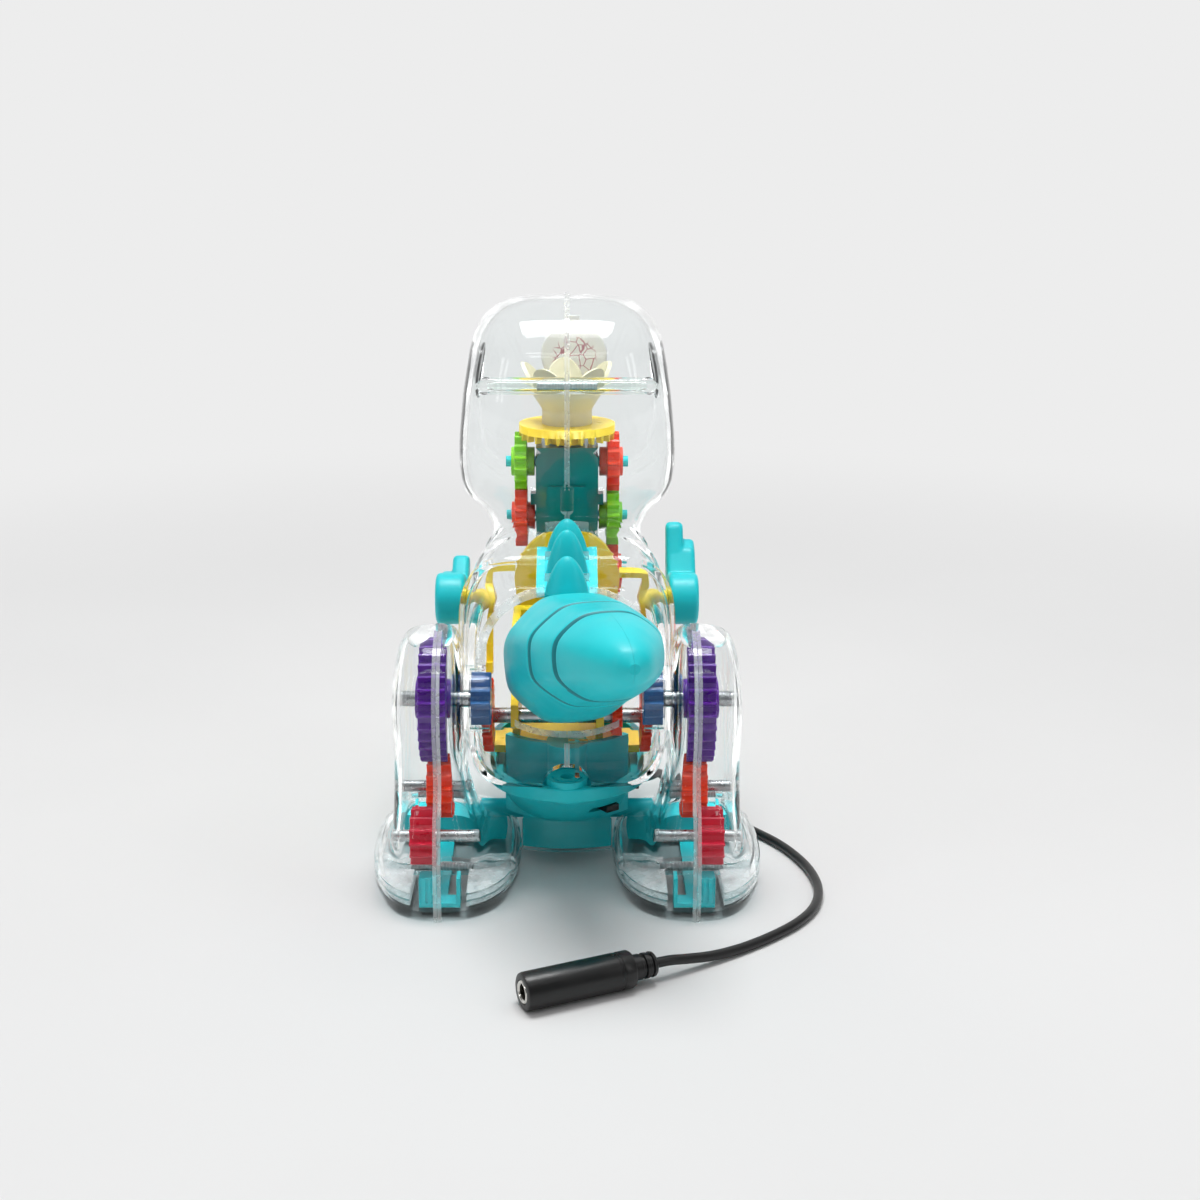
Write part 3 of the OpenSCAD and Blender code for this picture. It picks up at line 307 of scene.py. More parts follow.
def ovalGrid(rows, inset, angles):
    # Each row is a rounded oval between a top and a low point: along = cos^(2/n), across = width sin^(2/n).
    # A seventh column blends the oval towards an octagon.
    top, low, wide, square = rows[:, 0:2], rows[:, 2:4], rows[:, 4], rows[:, 5]
    half = np.linalg.norm(top - low, axis=1) / 2
    unit = (top - low) / 2 / half[:, None]
    c, s = np.cos(angles)[None, :], np.sin(angles)[None, :]
    s = np.where(np.abs(s) < 1e-9, 0.0, s)
    power = (2 / square)[:, None]
    along, x = np.sign(c) * np.abs(c) ** power, np.sign(s) * np.abs(s) ** power
    if rows.shape[1] > 6:
        facet = rows[:, 6:7]
        along = along + facet * (c * eightSided(c, s) - along)
        x = x + facet * (s * eightSided(c, s) - x)
    along, x = along * (half - inset)[:, None], x * (wide - inset)[:, None]
    yz = (top + low)[:, None, :] / 2 + unit[:, None, :] * along[..., None]
    return np.dstack([x, yz[..., 0], yz[..., 1]])


def loft(name, rows, inset=0.0, steps=64, whole=False, shift=0.0):
    angles = fullTurn(2 * steps) if whole else np.linspace(0, math.pi, steps + 1)
    grid = ovalGrid(rows, inset, angles)
    grid[..., 0] += shift
    n = grid.shape[1]
    way = rows[1, :2] + rows[1, 2:4] - rows[0, :2] - rows[0, 2:4]
    rise = rows[0, :2] - rows[0, 2:4]
    if way[0] * rise[1] - way[1] * rise[0] < 0:
        grid = grid[::-1]
    return sealed(name, grid.reshape(-1, 3) * mm, ringFaces(len(rows), n))


def rodX(at, r, x0, x1, n=72):
    a = fullTurn(n)
    ring = np.stack([np.zeros(n), at[0] + r * np.cos(a), at[1] + r * np.sin(a)], -1)
    return sealed("rod", np.vstack([ring + [x0, 0, 0], ring + [x1, 0, 0]]) * mm, ringFaces(2, n))


def lathe(name, profile, n=96):
    # Closed outline (radius, height) turned about Z.
    outline = np.asarray(profile, float)
    a = fullTurn(n)
    grid = np.stack([outline[None, :, 0] * np.cos(a)[:, None], outline[None, :, 0] * np.sin(a)[:, None],
                     np.repeat(outline[None, :, 1], n, 0)], -1)
    m = len(outline)
    i, j = np.meshgrid(np.arange(n), np.arange(m), indexing="ij")
    k, l = (i + 1) % n, (j + 1) % m
    quads = np.stack([i * m + j, k * m + j, k * m + l, i * m + l], -1).reshape(-1, 4)
    return sealed(name, grid.reshape(-1, 3) * mm, quads.tolist())


def block(low, high):
    x, y, z = (np.array([a, b]) for a, b in zip(low, high))
    points = [(x[i], y[j], z[k]) for i in (0, 1) for j in (0, 1) for k in (0, 1)]
    faces = [(0, 1, 3, 2), (4, 6, 7, 5), (0, 4, 5, 1), (2, 3, 7, 6), (0, 2, 6, 4), (1, 5, 7, 3)]
    return sealed("block", np.array(points) * mm, faces)


def stadium(half, front, rear, n=128):
    # Two half circles joined by straight sides.
    a = fullTurn(n)
    centre = np.where(np.sin(a) >= 0, rear - half, front + half)
    return np.stack([half * np.cos(a), half * np.sin(a) + centre], -1)


def arcBand(at, rOut, rIn, low, high, n=48):
    a = np.radians(np.linspace(low, high, n))[:, None]
    ring = np.hstack([np.cos(a), np.sin(a)])
    return np.vstack([at + rOut * ring, at + rIn * ring[::-1]])


def disc(at, r, n=72):
    a = fullTurn(n)
    return np.stack([at[0] + r * np.cos(a), at[1] + r * np.sin(a)], -1)


def stack(name, rings, heights):
    points = [np.column_stack([ring, np.full(len(ring), z)]) for ring, z in zip(rings, heights)]
    return sealed(name, np.vstack(points) * mm, ringFaces(len(rings), len(rings[0])))


def capsule(p0, p1, r0, r1, squash, n=40, k=12):
    # Round-ended rod between two points: rings of radius r cos(s) at r sin(s) beyond each end.
    p0, p1 = np.array(p0, float), np.array(p1, float)
    way = (p1 - p0) / np.linalg.norm(p1 - p0)
    s = np.linspace(-math.pi / 2 + 0.02, 0, k)
    centre = np.vstack([p0 + np.outer(r0 * np.sin(s), way), p1 - np.outer(r1 * np.sin(s[::-1]), way)])
    radius = np.concatenate([r0 * np.cos(s), r1 * np.cos(s)[::-1]])
    a = fullTurn(n)
    e1 = np.array([1.0, 0, 0])
    e2 = np.cross(way, e1)
    ring = np.cos(a)[:, None] * e1 * squash + np.sin(a)[:, None] * e2
    grid = centre[:, None, :] + radius[:, None, None] * ring[None]
    return grid.reshape(-1, 3), ringFaces(2 * k, n)


def joined(name, parts, smoothTo=35.0):
    points, faces, base = [], [], 0
    for p, f in parts:
        points.append(p)
        faces += [[q + base for q in face] for face in f]
        base += len(p)
    return sealed(name, np.vstack(points) * mm, faces, smoothTo)


def remeshed(piece, voxel, passes):
    step = piece.modifiers.new("remesh", "REMESH")
    step.mode, step.voxel_size = "VOXEL", voxel * mm
    soft = piece.modifiers.new("soft", "SMOOTH")
    soft.factor, soft.iterations = 0.5, passes
    return applied(piece, 60.0)


def bevelled(piece, width=0.25, angle=38.0):
    step = piece.modifiers.new("edge", "BEVEL")
    step.width, step.segments, step.limit_method, step.harden_normals = width * mm, 2, "ANGLE", True
    step.angle_limit = math.radians(angle)
    return piece


def combine(piece, kind, *others):
    for other in others:
        step = piece.modifiers.new("combine", "BOOLEAN")
        step.operation = kind
        step.object = other
        step.solver = "MANIFOLD"
    applied(piece)
    for other in others:
        bpy.data.objects.remove(other)
    return piece


def applied(piece, smoothTo=35.0):
    scene.view_layers[0].update()
    made = bpy.data.meshes.new_from_object(piece.evaluated_get(bpy.context.evaluated_depsgraph_get()))
    piece.modifiers.clear()
    old, piece.data = piece.data, made
    made.name = piece.name
    bpy.data.meshes.remove(old)
    finishNormals(made, smoothTo)
    return piece


def moved(piece, matrix):
    piece.data.transform(matrix)
    if matrix.determinant() < 0:
        piece.data.flip_normals()
    return piece


def copied(piece, name):
    other = bpy.data.objects.new(name, piece.data.copy())
    scene.collection.objects.link(other)
    return other


def mirrored(piece, name):
    return moved(copied(piece, name), Matrix.Scale(-1, 4, (1, 0, 0)))


# Lead: a plain black cord from the grommet over the toes and round to the jack.
cord = {"diameter": 2.4, "sides": 24, "points": [
    (-17.4, 3, 20), (-20.4, 2.9, 20), (-22.8, 0.4, 19.6), (-24.6, -4, 18.6), (-26.2, -8.6, 16.4),
    (-27.8, -12.8, 12.8), (-29.4, -16.4, 8.4), (-31.4, -19, 4.4), (-34.4, -20.4, 2), (-38.4, -19.8, 1.4),
    (-42.6, -16.6, 1.3), (-47, -11, 1.3), (-52, -4, 1.3), (-57, 3.4, 1.3), (-61, 12, 1.3),
    (-63.8, 22, 1.3), (-64.4, 33, 1.3), (-62, 43.4, 1.3), (-57, 52, 1.3), (-50, 59.4, 1.3),
    (-42.4, 65.8, 1.4), (-34.8, 71.2, 2), (-28.6, 75.2, 3.2), (-24.2, 77.9, 4.2), (-20.4, 79.8, 4.4),
]}
route = through(cord["points"], 8) * mm
tangent = np.gradient(route, axis=0)
tangent /= np.linalg.norm(tangent, axis=1)[:, None]
side = np.cross(tangent, [0, 0, 1])
side /= np.linalg.norm(side, axis=1)[:, None]
turn = fullTurn(cord["sides"])
tube = route[:, None, :] + cord["diameter"] / 2 * mm * (
    side[:, None, :] * np.cos(turn)[None, :, None]
    + np.cross(tangent, side)[:, None, :] * np.sin(turn)[None, :, None])
lead = sealed("switchLead", tube.reshape(-1, 3), ringFaces(len(route), cord["sides"]))
place(lead, "toy", "cord_black", "switch_lead")
print("lead made")

# Jack: a black barrel with a stepped neck, and a plated sleeve in its mouth. Outlines are (radius, along).
jack = {
    "place": (-0.020, 0.080, 0.0044), "heading": 24.5,
    "body": [
        (1.3, 3.0), (1.3, 0.0), (2.5, 0.0), (2.9, 0.4), (3.0, 1.0), (2.6, 1.2), (2.6, 1.8), (3.0, 2.0), (3.0, 2.8),
        (2.6, 3.0), (2.6, 3.6), (3.0, 3.8), (3.0, 5.6), (3.6, 6.0), (4.1, 6.1), (4.4, 6.6), (4.4, 9.0), (4.25, 9.2),
        (4.25, 9.6), (4.4, 9.8), (4.4, 32.2), (4.2, 32.8), (3.8, 33.0), (2.8, 33.0), (2.8, 17.0), (0.05, 17.0),
        (0.05, 3.0)],
    "sleeve": [(0.05, 17.1), (2.78, 17.1), (2.78, 32.8), (2.5, 33.1), (2.1, 33.1), (1.8, 32.8), (1.8, 18.0),
               (0.05, 18.0)],
}
jackPose = (Matrix.Translation(jack["place"]) @ Matrix.Rotation(math.radians(jack["heading"]), 4, "Z")
            @ Matrix.Rotation(math.radians(90), 4, "Y"))
jackBody = moved(lathe("jackBody", jack["body"]), jackPose)
jackSleeve = moved(lathe("jackSleeve", jack["sleeve"]), jackPose)
place(jackBody, "toy", "jack_black", "jack_body")
place(jackSleeve, "toy", "jack_metal", "jack_sleeve")
print("jack made")

# Head and body: sections from the tail opening to the nose, as in the CAD part.
# A section is the top (y, z), the low point (y, z), half the width and the squareness.
shell = {"wall": 1.8, "rim": 28.0, "hipBossR": 8.6, "hipBossX": (19.5, 25.7), "hubRoomR": 7.4, "hubRoomX": (13.2, 24.5),
         "shaftR": 2.05, "screwBossR": 2.3, "screwR": 1.11, "eyeR": 8.01, "archR": 6.2, "flange": 0.7,
         "slotHalf": 5.8, "slotLong": 4.2, "slotDrop": 3.0, "slotHigh": 11.0, "mouth": (12, 75.5),
         "tee": (((-3.1, 28.4, 31.4), (-2.0, 32.2, 41)), ((-5.2, 27.4, 40), (-0.3, 30.6, 41.2)))}
far = 60
bodyRows = through([
    (12, 75.5, 29.5, 42, 22.4, 2.2), (11, 76, 32, 33, 25, 3.5), (8, 76.8, 27, 25.6, 25.6, 4.4),
    (4.5, 77.6, 12, 24.4, 26.2, 5), (-1, 79.3, 2, 24, 28.4, 5), (-5, 81.6, -8.5, 24, 26.4, 4.4),
    (-10, 84.5, -26, 26, 26.2, 4), (-12, 86.5, -40, 37.5, 24.6, 3), (-13, 88.5, -48.5, 53, 22.6, 2.7),
    (-12.5, 91, -52.5, 67.5, 20.6, 2.6), (-11, 94.5, -53.5, 77.5, 23, 2.6), (-9, 100, -54.5, 82.5, 28, 2.6),
    (-8, 108, -56, 85.5, 29.4, 2.5), (-8.5, 118, -58, 87, 29.6, 2.6), (-11, 129, -61, 88, 29, 2.9),
    (-16.5, 137.4, -64, 89, 28.2, 3.4), (-26, 143.4, -67.5, 89.5, 27.4, 3.6), (-40, 145, -71.5, 90, 26.6, 3.6),
    (-50, 142.5, -74.5, 90.5, 25.2, 3.4), (-60, 136.5, -77.5, 91.5, 23, 3), (-70, 129.5, -80.5, 93.5, 20, 2.7),
    (-79, 121, -83, 97.5, 15.5, 2.5), (-84.2, 112, -85, 104, 7, 2.2)], 6)
hip, shoulder, headBoss = (25, 50), (-12, 66), (-17.5, 123)
eyePose = Matrix.Translation((0.0242, -0.047, 0.123)) @ Matrix.Rotation(math.radians(-8), 4, "Y")
seamGap = 0.06


def alongY(rows, y):
    out = rows.copy()
    out[:, [0, 2]] += np.asarray(y).reshape(-1, 1)
    return out


def swollen(rows, places):
    # Ridges round a loft: each section grows by height * exp(-((row - at) / spread)^2).
    out = rows.copy()
    k = np.arange(len(rows))
    grow = sum(high * np.exp(-((k - at) / wide) ** 2) for at, wide, high in places)
    rise = rows[:, :2] - rows[:, 2:4]
    rise /= np.linalg.norm(rise, axis=1)[:, None]
    out[:, :2] += rise * grow[:, None]
    out[:, 2:4] -= rise * grow[:, None]
    out[:, 4] += grow
    return out


innerRows = bodyRows[:-9].copy()
inner = np.vstack([alongY(bodyRows[:1], 8.0), alongY(bodyRows[:1], 0.6),
                   alongY(innerRows[3:], np.where(np.arange(len(innerRows) - 3) < 9, -shell["wall"], 0.0))])


def flange(rows, proud, thick):
    # Flat rib along a seam: the outline of the middle section, grown a little.
    rise = rows[:, :2] - rows[:, 2:4]
    rise /= np.linalg.norm(rise, axis=1)[:, None]
    ring = np.vstack([rows[:, :2] + proud * rise, (rows[:, 2:4] - proud * rise)[::-1]])
    if np.sum(ring[:, 0] * np.roll(ring[:, 1], -1) - ring[:, 1] * np.roll(ring[:, 0], -1)) < 0:
        ring = ring[::-1]
    sides = [np.column_stack([np.full(len(ring), x), ring]) for x in (seamGap, thick - 0.32, thick)]
    return sealed("flange", np.vstack(sides) * mm, ringFaces(3, len(ring)))


def seamEdge(seam, thick):
    # Picks the outer strip of a flange and the mating faces.
    def picks(c):
        off = np.abs(np.abs(c[:, 0]) - seam)
        return (off > thick - 0.34) & (off < thick + 0.03) | (off < seamGap + 0.02)
    return picks


ridges = ((0, 2.0, 0.8), (22.5, 1.0, 0.6), (26.5, 1.0, 0.4), (47, 1.1, 0.5))
shellLeft = loft("shellLeft", swollen(bodyRows, ridges), shift=seamGap)
tabPoints, tabFaces = capsule((0, -12.4, 90.4), (0, -10.2, 96.4), 1.5, 1.5, 1.15)
napeTab = joined("napeTab", [(tabPoints, tabFaces)])
combine(napeTab, "DIFFERENCE", block((-9, -40, 60), (seamGap, 10, 120)))
combine(shellLeft, "UNION", rodX(hip, shell["hipBossR"], *shell["hipBossX"]),
        flange(bodyRows, 0.45, shell["flange"]), napeTab)
cavity = loft("cavity", inner, shell["wall"], whole=True)
combine(cavity, "DIFFERENCE", rodX(headBoss, shell["screwBossR"], 0.3, far))
combine(shellLeft, "DIFFERENCE", cavity)
combine(shellLeft, "DIFFERENCE", rodX(hip, shell["hubRoomR"], *shell["hubRoomX"]), rodX(hip, shell["shaftR"], 0, far),
        rodX(shoulder, shell["shaftR"], 0, far), rodX(headBoss, shell["screwR"], -1, 21),
        moved(rodX((0, 0), shell["eyeR"], -6, 40), eyePose))
arch = moved(rodX((0, 0), shell["archR"], 20, 40),
             Matrix.Translation((0, 0, shell["rim"] * mm)) @ Matrix.Rotation(math.radians(90), 4, "Z"))
spikePlaces = ((10, 73.6, 9.8), (0.6, 75.6, 12.6), (-8.4, 79.4, 9.6))
slots = [block((-shell["slotHalf"], y - shell["slotLong"], z - shell["slotDrop"]),
               (shell["slotHalf"], y + shell["slotLong"], z + shell["slotHigh"])) for y, z, high in spikePlaces]
combine(shellLeft, "DIFFERENCE", arch, *slots, block((-150, -150, -200), (150, 150, shell["rim"])))
shellRight = mirrored(shellLeft, "shellRight")
combine(shellRight, "UNION", *[block(*ends) for ends in shell["tee"]])
place(shellLeft, "toy", "clear_shell", "shell_left")
place(shellRight, "toy", "clear_shell", "shell_right")
mouthWay = np.array([33.5, 17.5]) / math.hypot(33.5, 17.5)


def mouthEdge(c):
    return nearTo((c[:, 1:] - shell["mouth"]) @ mouthWay, 0.0, 0.06)


def slotSide(c):
    return nearTo(np.abs(c[:, 0]), shell["slotHalf"]) & (c[:, 2] > 66)


def slotEnd(y, z):
    def picks(c):
        within = np.abs(c[:, 0]) < shell["slotHalf"] + 0.1
        return nearTo(np.abs(c[:, 1] - y), shell["slotLong"]) & within & (c[:, 2] > z - shell["slotDrop"] - 0.1)
    return picks


for piece in (shellLeft, shellRight):
    dress(piece, clearEdge, seamEdge(0.0, shell["flange"]), mouthEdge, slotSide,
          *[slotEnd(y, z) for y, z, high in spikePlaces])
    dress(piece, clearThick, lambda c: np.hypot(*(c[:, 1:] - headBoss).T) < shell["screwBossR"] + 0.1)
print("body shells made")

# Legs: sections from the sole up (height, rear, front, depth outwards, depth inwards, squareness).
legTable = np.array([
    (0, 49.2, -9.2, 16.6, 18.6, 2.4), (2.2, 50, -10, 17.4, 19.4, 2.4), (6, 50.3, -11, 17.8, 19.8, 2.5),
    (10.4, 50.3, -9.4, 17.4, 19, 2.6), (13, 50, -3, 15.6, 15.6, 2.8), (15, 49.8, 6, 13, 12, 3),
    (19, 49.2, 11.5, 12.2, 10.4, 3.2), (25, 46.6, 14, 11.6, 8.6, 3.2), (31, 42.5, 12.4, 11.6, 7, 3.3),
    (37, 41.4, 9.2, 11.6, 6, 3.6), (44, 43, 7, 11.7, 5.9, 3.8), (51, 43.6, 6.4, 11.7, 5.9, 3.8),
    (58.5, 41.5, 8.5, 11.2, 5.8, 3.6), (64.5, 37, 13, 10, 5.2, 3.1), (67.8, 31.5, 18.5, 7.5, 4, 2.6),
    (68.9, 28, 22, 4, 2.2, 2.2)])
leg = {"seam": 32.0, "wall": 1.6, "flange": 1.0, "shelves": (2.8, 4.6, 6.4), "shelfThick": 0.5,
       "ribOuter": 4.7, "ribInner": 3.4, "ribThick": 0.8, "pinR": 1.51, "peg": (6, 12.6), "pegR": 3.0}
footBoss, shinBoss, knee, ankle = (31, 6.8), (17.5, 21.5), (28.131, 27.719), (38.535, 18.351)


def legHalf(name, column):
    outer = column == 3
    rows = through(np.stack([legTable[:, 1], legTable[:, 0], legTable[:, 2], legTable[:, 0],
                             legTable[:, column], legTable[:, 5]], -1), 6)
    heelRidges = ((8.5, 0.9, 0.35), (12.5, 0.9, 0.35), (16.5, 0.9, 0.35))
    body = loft(name, swollen(rows, heelRidges), shift=seamGap)
    piece = combine(body, "UNION", flange(rows, 0.5, leg["flange"]))
    hollow = loft("hollow", rows[6:-10], leg["wall"], whole=True)
    rib = leg["ribOuter"] if outer else leg["ribInner"]
    shelves = [block((7.0, 24, z), (30, 60, z + leg["shelfThick"])) for z in leg["shelves"]]
    combine(hollow, "DIFFERENCE", block((rib, 41.3, 26), (rib + leg["ribThick"], 60, 60)), *shelves)
    for made in (piece, hollow):
        if not outer:
            moved(made, Matrix.Scale(-1, 4, (1, 0, 0)))
        moved(made, Matrix.Translation((leg["seam"] * mm, 0, 0)))
    ends = (leg["seam"] + 0.2, 70) if outer else (0, leg["seam"] - 0.2)
    combine(hollow, "DIFFERENCE", *[rodX(at, shell["screwBossR"], *ends) for at in (footBoss, shinBoss)])
    combine(piece, "DIFFERENCE", hollow)
    combine(piece, "DIFFERENCE", rodX(hip, shell["shaftR"], 0, 43.1),
            *[rodX(at, shell["screwR"], 23, 41) for at in (footBoss, shinBoss)],
            rodX(knee, leg["pinR"], 12, 42.4), rodX(ankle, leg["pinR"], 22, 43.4))
    if not outer:
        combine(piece, "DIFFERENCE", rodX(leg["peg"], leg["pegR"], 0, 23.4))
    return piece


def shelfTop(z):
    return lambda c: nearTo(c[:, 2], z + leg["shelfThick"])


for label, column in (("Outer", 3), ("Inner", 4)):
    left = legHalf("legLeft" + label, column)
    right = mirrored(left, "legRight" + label)
    for piece, name in ((left, "leg_left_"), (right, "leg_right_")):
        place(piece, "toy", "clear_shell", name + label.lower())
        dress(piece, clearEdge, seamEdge(leg["seam"], leg["flange"]))
        dress(piece, shelfEdge, lambda c: c[:, 2] < 0.03, *[shelfTop(z) for z in leg["shelves"]])
print("legs made")

# Tail: rings along a climbing spine, with two grooves round it; it swings about a pin in the opening.
# A row of the spine is y, z, half the height, half the width and the climb in degrees.
tail = {"grooves": ((51, 2.1), (64, 2.0)), "grooveWide": 0.62, "square": 2.15, "wall": 1.8, "gap": 0.02,
        "pin": (0, 0.021, 0), "turn": 13}
spine = through([
    (16.6, 56.4, 14.4, 15, 27), (21, 58.5, 15.5, 16.2, 26), (31, 63, 15.8, 17.4, 23), (42, 67, 13.9, 17.2, 19),
    (53, 70.3, 12.2, 15.8, 16), (63, 72.9, 10.6, 13.4, 13), (72, 74.8, 8.8, 10.6, 10), (79, 76, 6.7, 7.6, 7),
    (84, 76.7, 4.2, 4.5, 5), (86.4, 77, 1.2, 1.2, 5)], 36)
groove = sum(deep * np.exp(-((spine[:, 0] - at) / tail["grooveWide"]) ** 2) for at, deep in tail["grooves"])
facet = np.interp(spine[:, 0], (16, 50, 66, 80), (0.9, 0.8, 0.45, 0.0))
climb = np.radians(spine[:, 4] + 90)
rise = np.stack([np.cos(climb), np.sin(climb)], -1) * (spine[:, 2] - groove)[:, None]
tailRows = np.column_stack([spine[:, :2] + rise, spine[:, :2] - rise, spine[:, 3] - groove,
                            np.full(len(spine), tail["square"]), facet])
tailInner = np.vstack([alongY(tailRows[:1], -4.0), tailRows[:-99]])
pin = Vector(tail["pin"])
swing = (Matrix.Translation(pin) @ Matrix.Rotation(math.radians(tail["turn"]), 4, "Z")
         @ Matrix.Translation(-pin))
tailLeft = loft("tailLeft", tailRows, shift=tail["gap"])
combine(tailLeft, "DIFFERENCE", loft("tailHollow", tailInner, tail["wall"], whole=True))
tailRight = mirrored(tailLeft, "tailRight")


def grooveWall(at):
    # Picks the floor of a groove and its wall on the body's side, which get the darker teal as painted shade.
    up, z = (np.interp(at, spine[:, 0], spine[:, k]) for k in (4, 1))
    way = np.array(swing.to_3x3() @ Vector((0, math.cos(math.radians(up)), math.sin(math.radians(up)))))
    middle = np.array(swing @ Vector((0, at * mm, z * mm))) / mm
    return lambda c: nearTo((c - middle) @ way, -0.4, 0.85)


for piece, name in ((tailLeft, "tail_left"), (tailRight, "tail_right")):
    moved(piece, swing)
    place(piece, "tail", "teal", name)
    # The groove faces get the darker teal: painted shade in the grooves.
    dress(piece, grooveShadeTeal, *[grooveWall(at) for at, deep in tail["grooves"]])
print("tail made")

# Back spikes: gumdrops that narrow as (1 - u^1.3)^0.5, on a strip.
spike = {"half": 5.6, "long": 4.0}
spikes = block((-8, -20.5, -1.8), (8, -0.5, -0.2))
spikes.name = "backSpikes"
moved(spikes, Matrix.Translation((0, 0.009, 0.0733)) @ Matrix.Rotation(math.radians(-22), 4, "X"))
for y, z, high in spikePlaces:
    u = np.sin(np.linspace(0, math.pi / 2, 28))
    grow = np.maximum(1 - u ** 1.3, 2e-4) ** 0.5
    rings = [disc((0, 0), 1.0, 64) * [spike["half"] * g, spike["long"] * g] + [0, y] for g in grow]
    combine(spikes, "UNION", stack("spike", rings, z + high * u))
place(bevelled(spikes, 0.2, 50), "toy", "teal", "back_spikes")
print("spikes made")

# Arms: a thick upper arm, a forearm, and a long inner and a short outer finger, melted into one.
arm = {"inside": 27.4, "wide": 8.0, "split": 4.8,
       "joints": {"shoulder": (0, 0, 7), "elbow": (-9, -3.6, 4.4), "wrist": (-16.6, 1, 3.8),
                  "inner": (-22, 6.2, 2.8), "outer": (-19.8, 2.4, 2.4)}}


def slabAlong(a, b, x0, x1, edge=1.3):
    # Flat-sided bar round two circles: the outline of both, drawn in by a quarter round at each side.
    n = 96
    turn = fullTurn(n)
    heading = math.atan2(b[1] - a[1], b[0] - a[0])
    lean = math.acos((a[2] - b[2]) / math.hypot(b[0] - a[0], b[1] - a[1]))
    near = np.abs((turn - heading + math.pi) % (2 * math.pi) - math.pi) > lean
    corner = np.linspace(0, math.pi / 2, 6)
    draw = np.concatenate([edge * (1 - np.sin(corner)), edge * (1 - np.sin(corner[::-1]))])
    xs = np.concatenate([x0 + edge * (1 - np.cos(corner)), x1 - edge * (1 - np.cos(corner[::-1]))])
    rings = []
    for x, less in zip(xs, draw):
        r = np.where(near, a[2], b[2]) - less
        y = np.where(near, a[0], b[0]) + r * np.cos(turn)
        z = np.where(near, a[1], b[1]) + r * np.sin(turn)
        rings.append(np.column_stack([np.full(n, x), y, z]))
    return np.vstack(rings), ringFaces(len(rings), n)


def makeArm(name, up, side, body, replaced):
    c, t = math.cos(math.radians(up)), math.sin(math.radians(up))
    spot = {key: (shoulder[0] + a * c + b * t, shoulder[1] - a * t + b * c, r)
            for key, (a, b, r) in arm["joints"].items()}
    low, split, high = arm["inside"], arm["inside"] + arm["split"], arm["inside"] + arm["wide"]
    bars = (("shoulder", "elbow", low, high), ("elbow", "wrist", low, high), ("wrist", "inner", low, split),
            ("wrist", "outer", split - 0.6, high))
    piece = joined(name, [slabAlong(spot[a], spot[b], x0, x1) for a, b, x0, x1 in bars])
    remeshed(piece, 0.3, 6)
    combine(piece, "DIFFERENCE", rodX(shoulder, 2.01, 20, 33.4))
    if side < 0:
        moved(piece, Matrix.Scale(-1, 4, (1, 0, 0)))
    place(piece, body, "teal", replaced)


makeArm("armLeft", -7, 1, "arm_left_body", "arm_left")
makeArm("armRight", 23, -1, "arm_right_body", "arm_right")
print("arms made")

# Base tub: a bowl under a rim, the battery box below, side arms to the feet, and a tray with a pillar inside.
tub = {"floor": 13.0, "step": 24.4, "wall": 1.6, "boxHalf": 11.6, "boxLow": 4.6, "boxFront": -35.3,
       "deck": 18.2, "cellTop": 16.6, "trayTop": 34.6, "trayR": 21.0, "tab": (0, 26.6), "peg": (6, 12.6), "pegR": 2.6}


def bowlRing(z, inset):
    t = (z - tub["floor"]) / (tub["step"] - tub["floor"])
    return stadium(14 + 4.8 * t - inset, -32 + 3 * t + inset, 17 + 14 * t - inset)


def rimRing(inset):
    return stadium(21.2 - inset, -30 + inset, 32 - inset)


bowlHeights = [13.0, 13.3, 14.0, 16.0, 18.0, 20.0, 22.0, 24.3]
base = stack("baseTub", [bowlRing(z, i) for z, i in zip(bowlHeights, (0.9, 0.25, 0, 0, 0, 0, 0, 0))]
             + [rimRing(i) for i in (0.25, 0, 0, 0.3)], bowlHeights + [24.4, 24.75, 27.7, 28.0])
combine(base, "DIFFERENCE", stack("hollow", [bowlRing(z, tub["wall"]) for z in (14.6, 18, 21, 24.35)]
                                  + [rimRing(2.2)] * 2, [14.6, 18, 21, 24.35, 24.4, 40]))
arc = np.linspace(tub["boxHalf"], -tub["boxHalf"], 33)
boxRear = np.stack([arc, np.sqrt(34.2 ** 2 - arc ** 2) - 19.2], -1)
boxRing = np.vstack([[(tub["boxHalf"], tub["boxFront"])], boxRear, [(-tub["boxHalf"], tub["boxFront"])]])
batteryRoom = block((-10.7, -33.7, -5), (10.7, 11.4, tub["cellTop"]))
deck = block((-tub["boxHalf"], tub["boxFront"], 13.5), (tub["boxHalf"], 13, tub["deck"]))
box = combine(stack("box", [boxRing, boxRing], [tub["boxLow"], 13.9]), "UNION", deck)
tray = stack("tray", [arcBand((0, -4), tub["trayR"], tub["trayR"] - 1.6, 39, 141)] * 2, [13.6, tub["trayTop"]])
pillar = stack("pillar", [disc((0, 14.6), 5.4)] * 2, [tub["deck"] - 0.6, tub["trayTop"]])
tab = stack("tab", [disc(tub["tab"], 5.2)] * 2, [24.2, 29.6])
combine(base, "UNION", box, tray, pillar, tab,
        rodX(tub["peg"], tub["pegR"], 11.2, 23), rodX(tub["peg"], tub["pegR"], -23, -11.2))
combine(base, "DIFFERENCE", batteryRoom)
slotPose = Matrix.Translation((-0.0095, 0.0208, 0.0186)) @ Matrix.Rotation(math.radians(36), 4, "Z")
notches = [moved(block((-0.5, -1, -3), (0.5, 1, 0.6)), Matrix.Translation((s * 0.0172, 0.0232, 0.028))
                 @ Matrix.Rotation(math.radians(-s * 53), 4, "Z")) for s in (1, -1)]
combine(base, "DIFFERENCE", moved(block((-4, -5, -1), (4, 8, 1)), slotPose), rodX((3, 20), 2.11, -60, 0),
        stack("hole", [disc(tub["tab"], 1.8)] * 2, [25, 40]),
        stack("groove", [arcBand(tub["tab"], 4.0, 3.4, 0, 180)] * 2, [29.0, 40]), *notches)
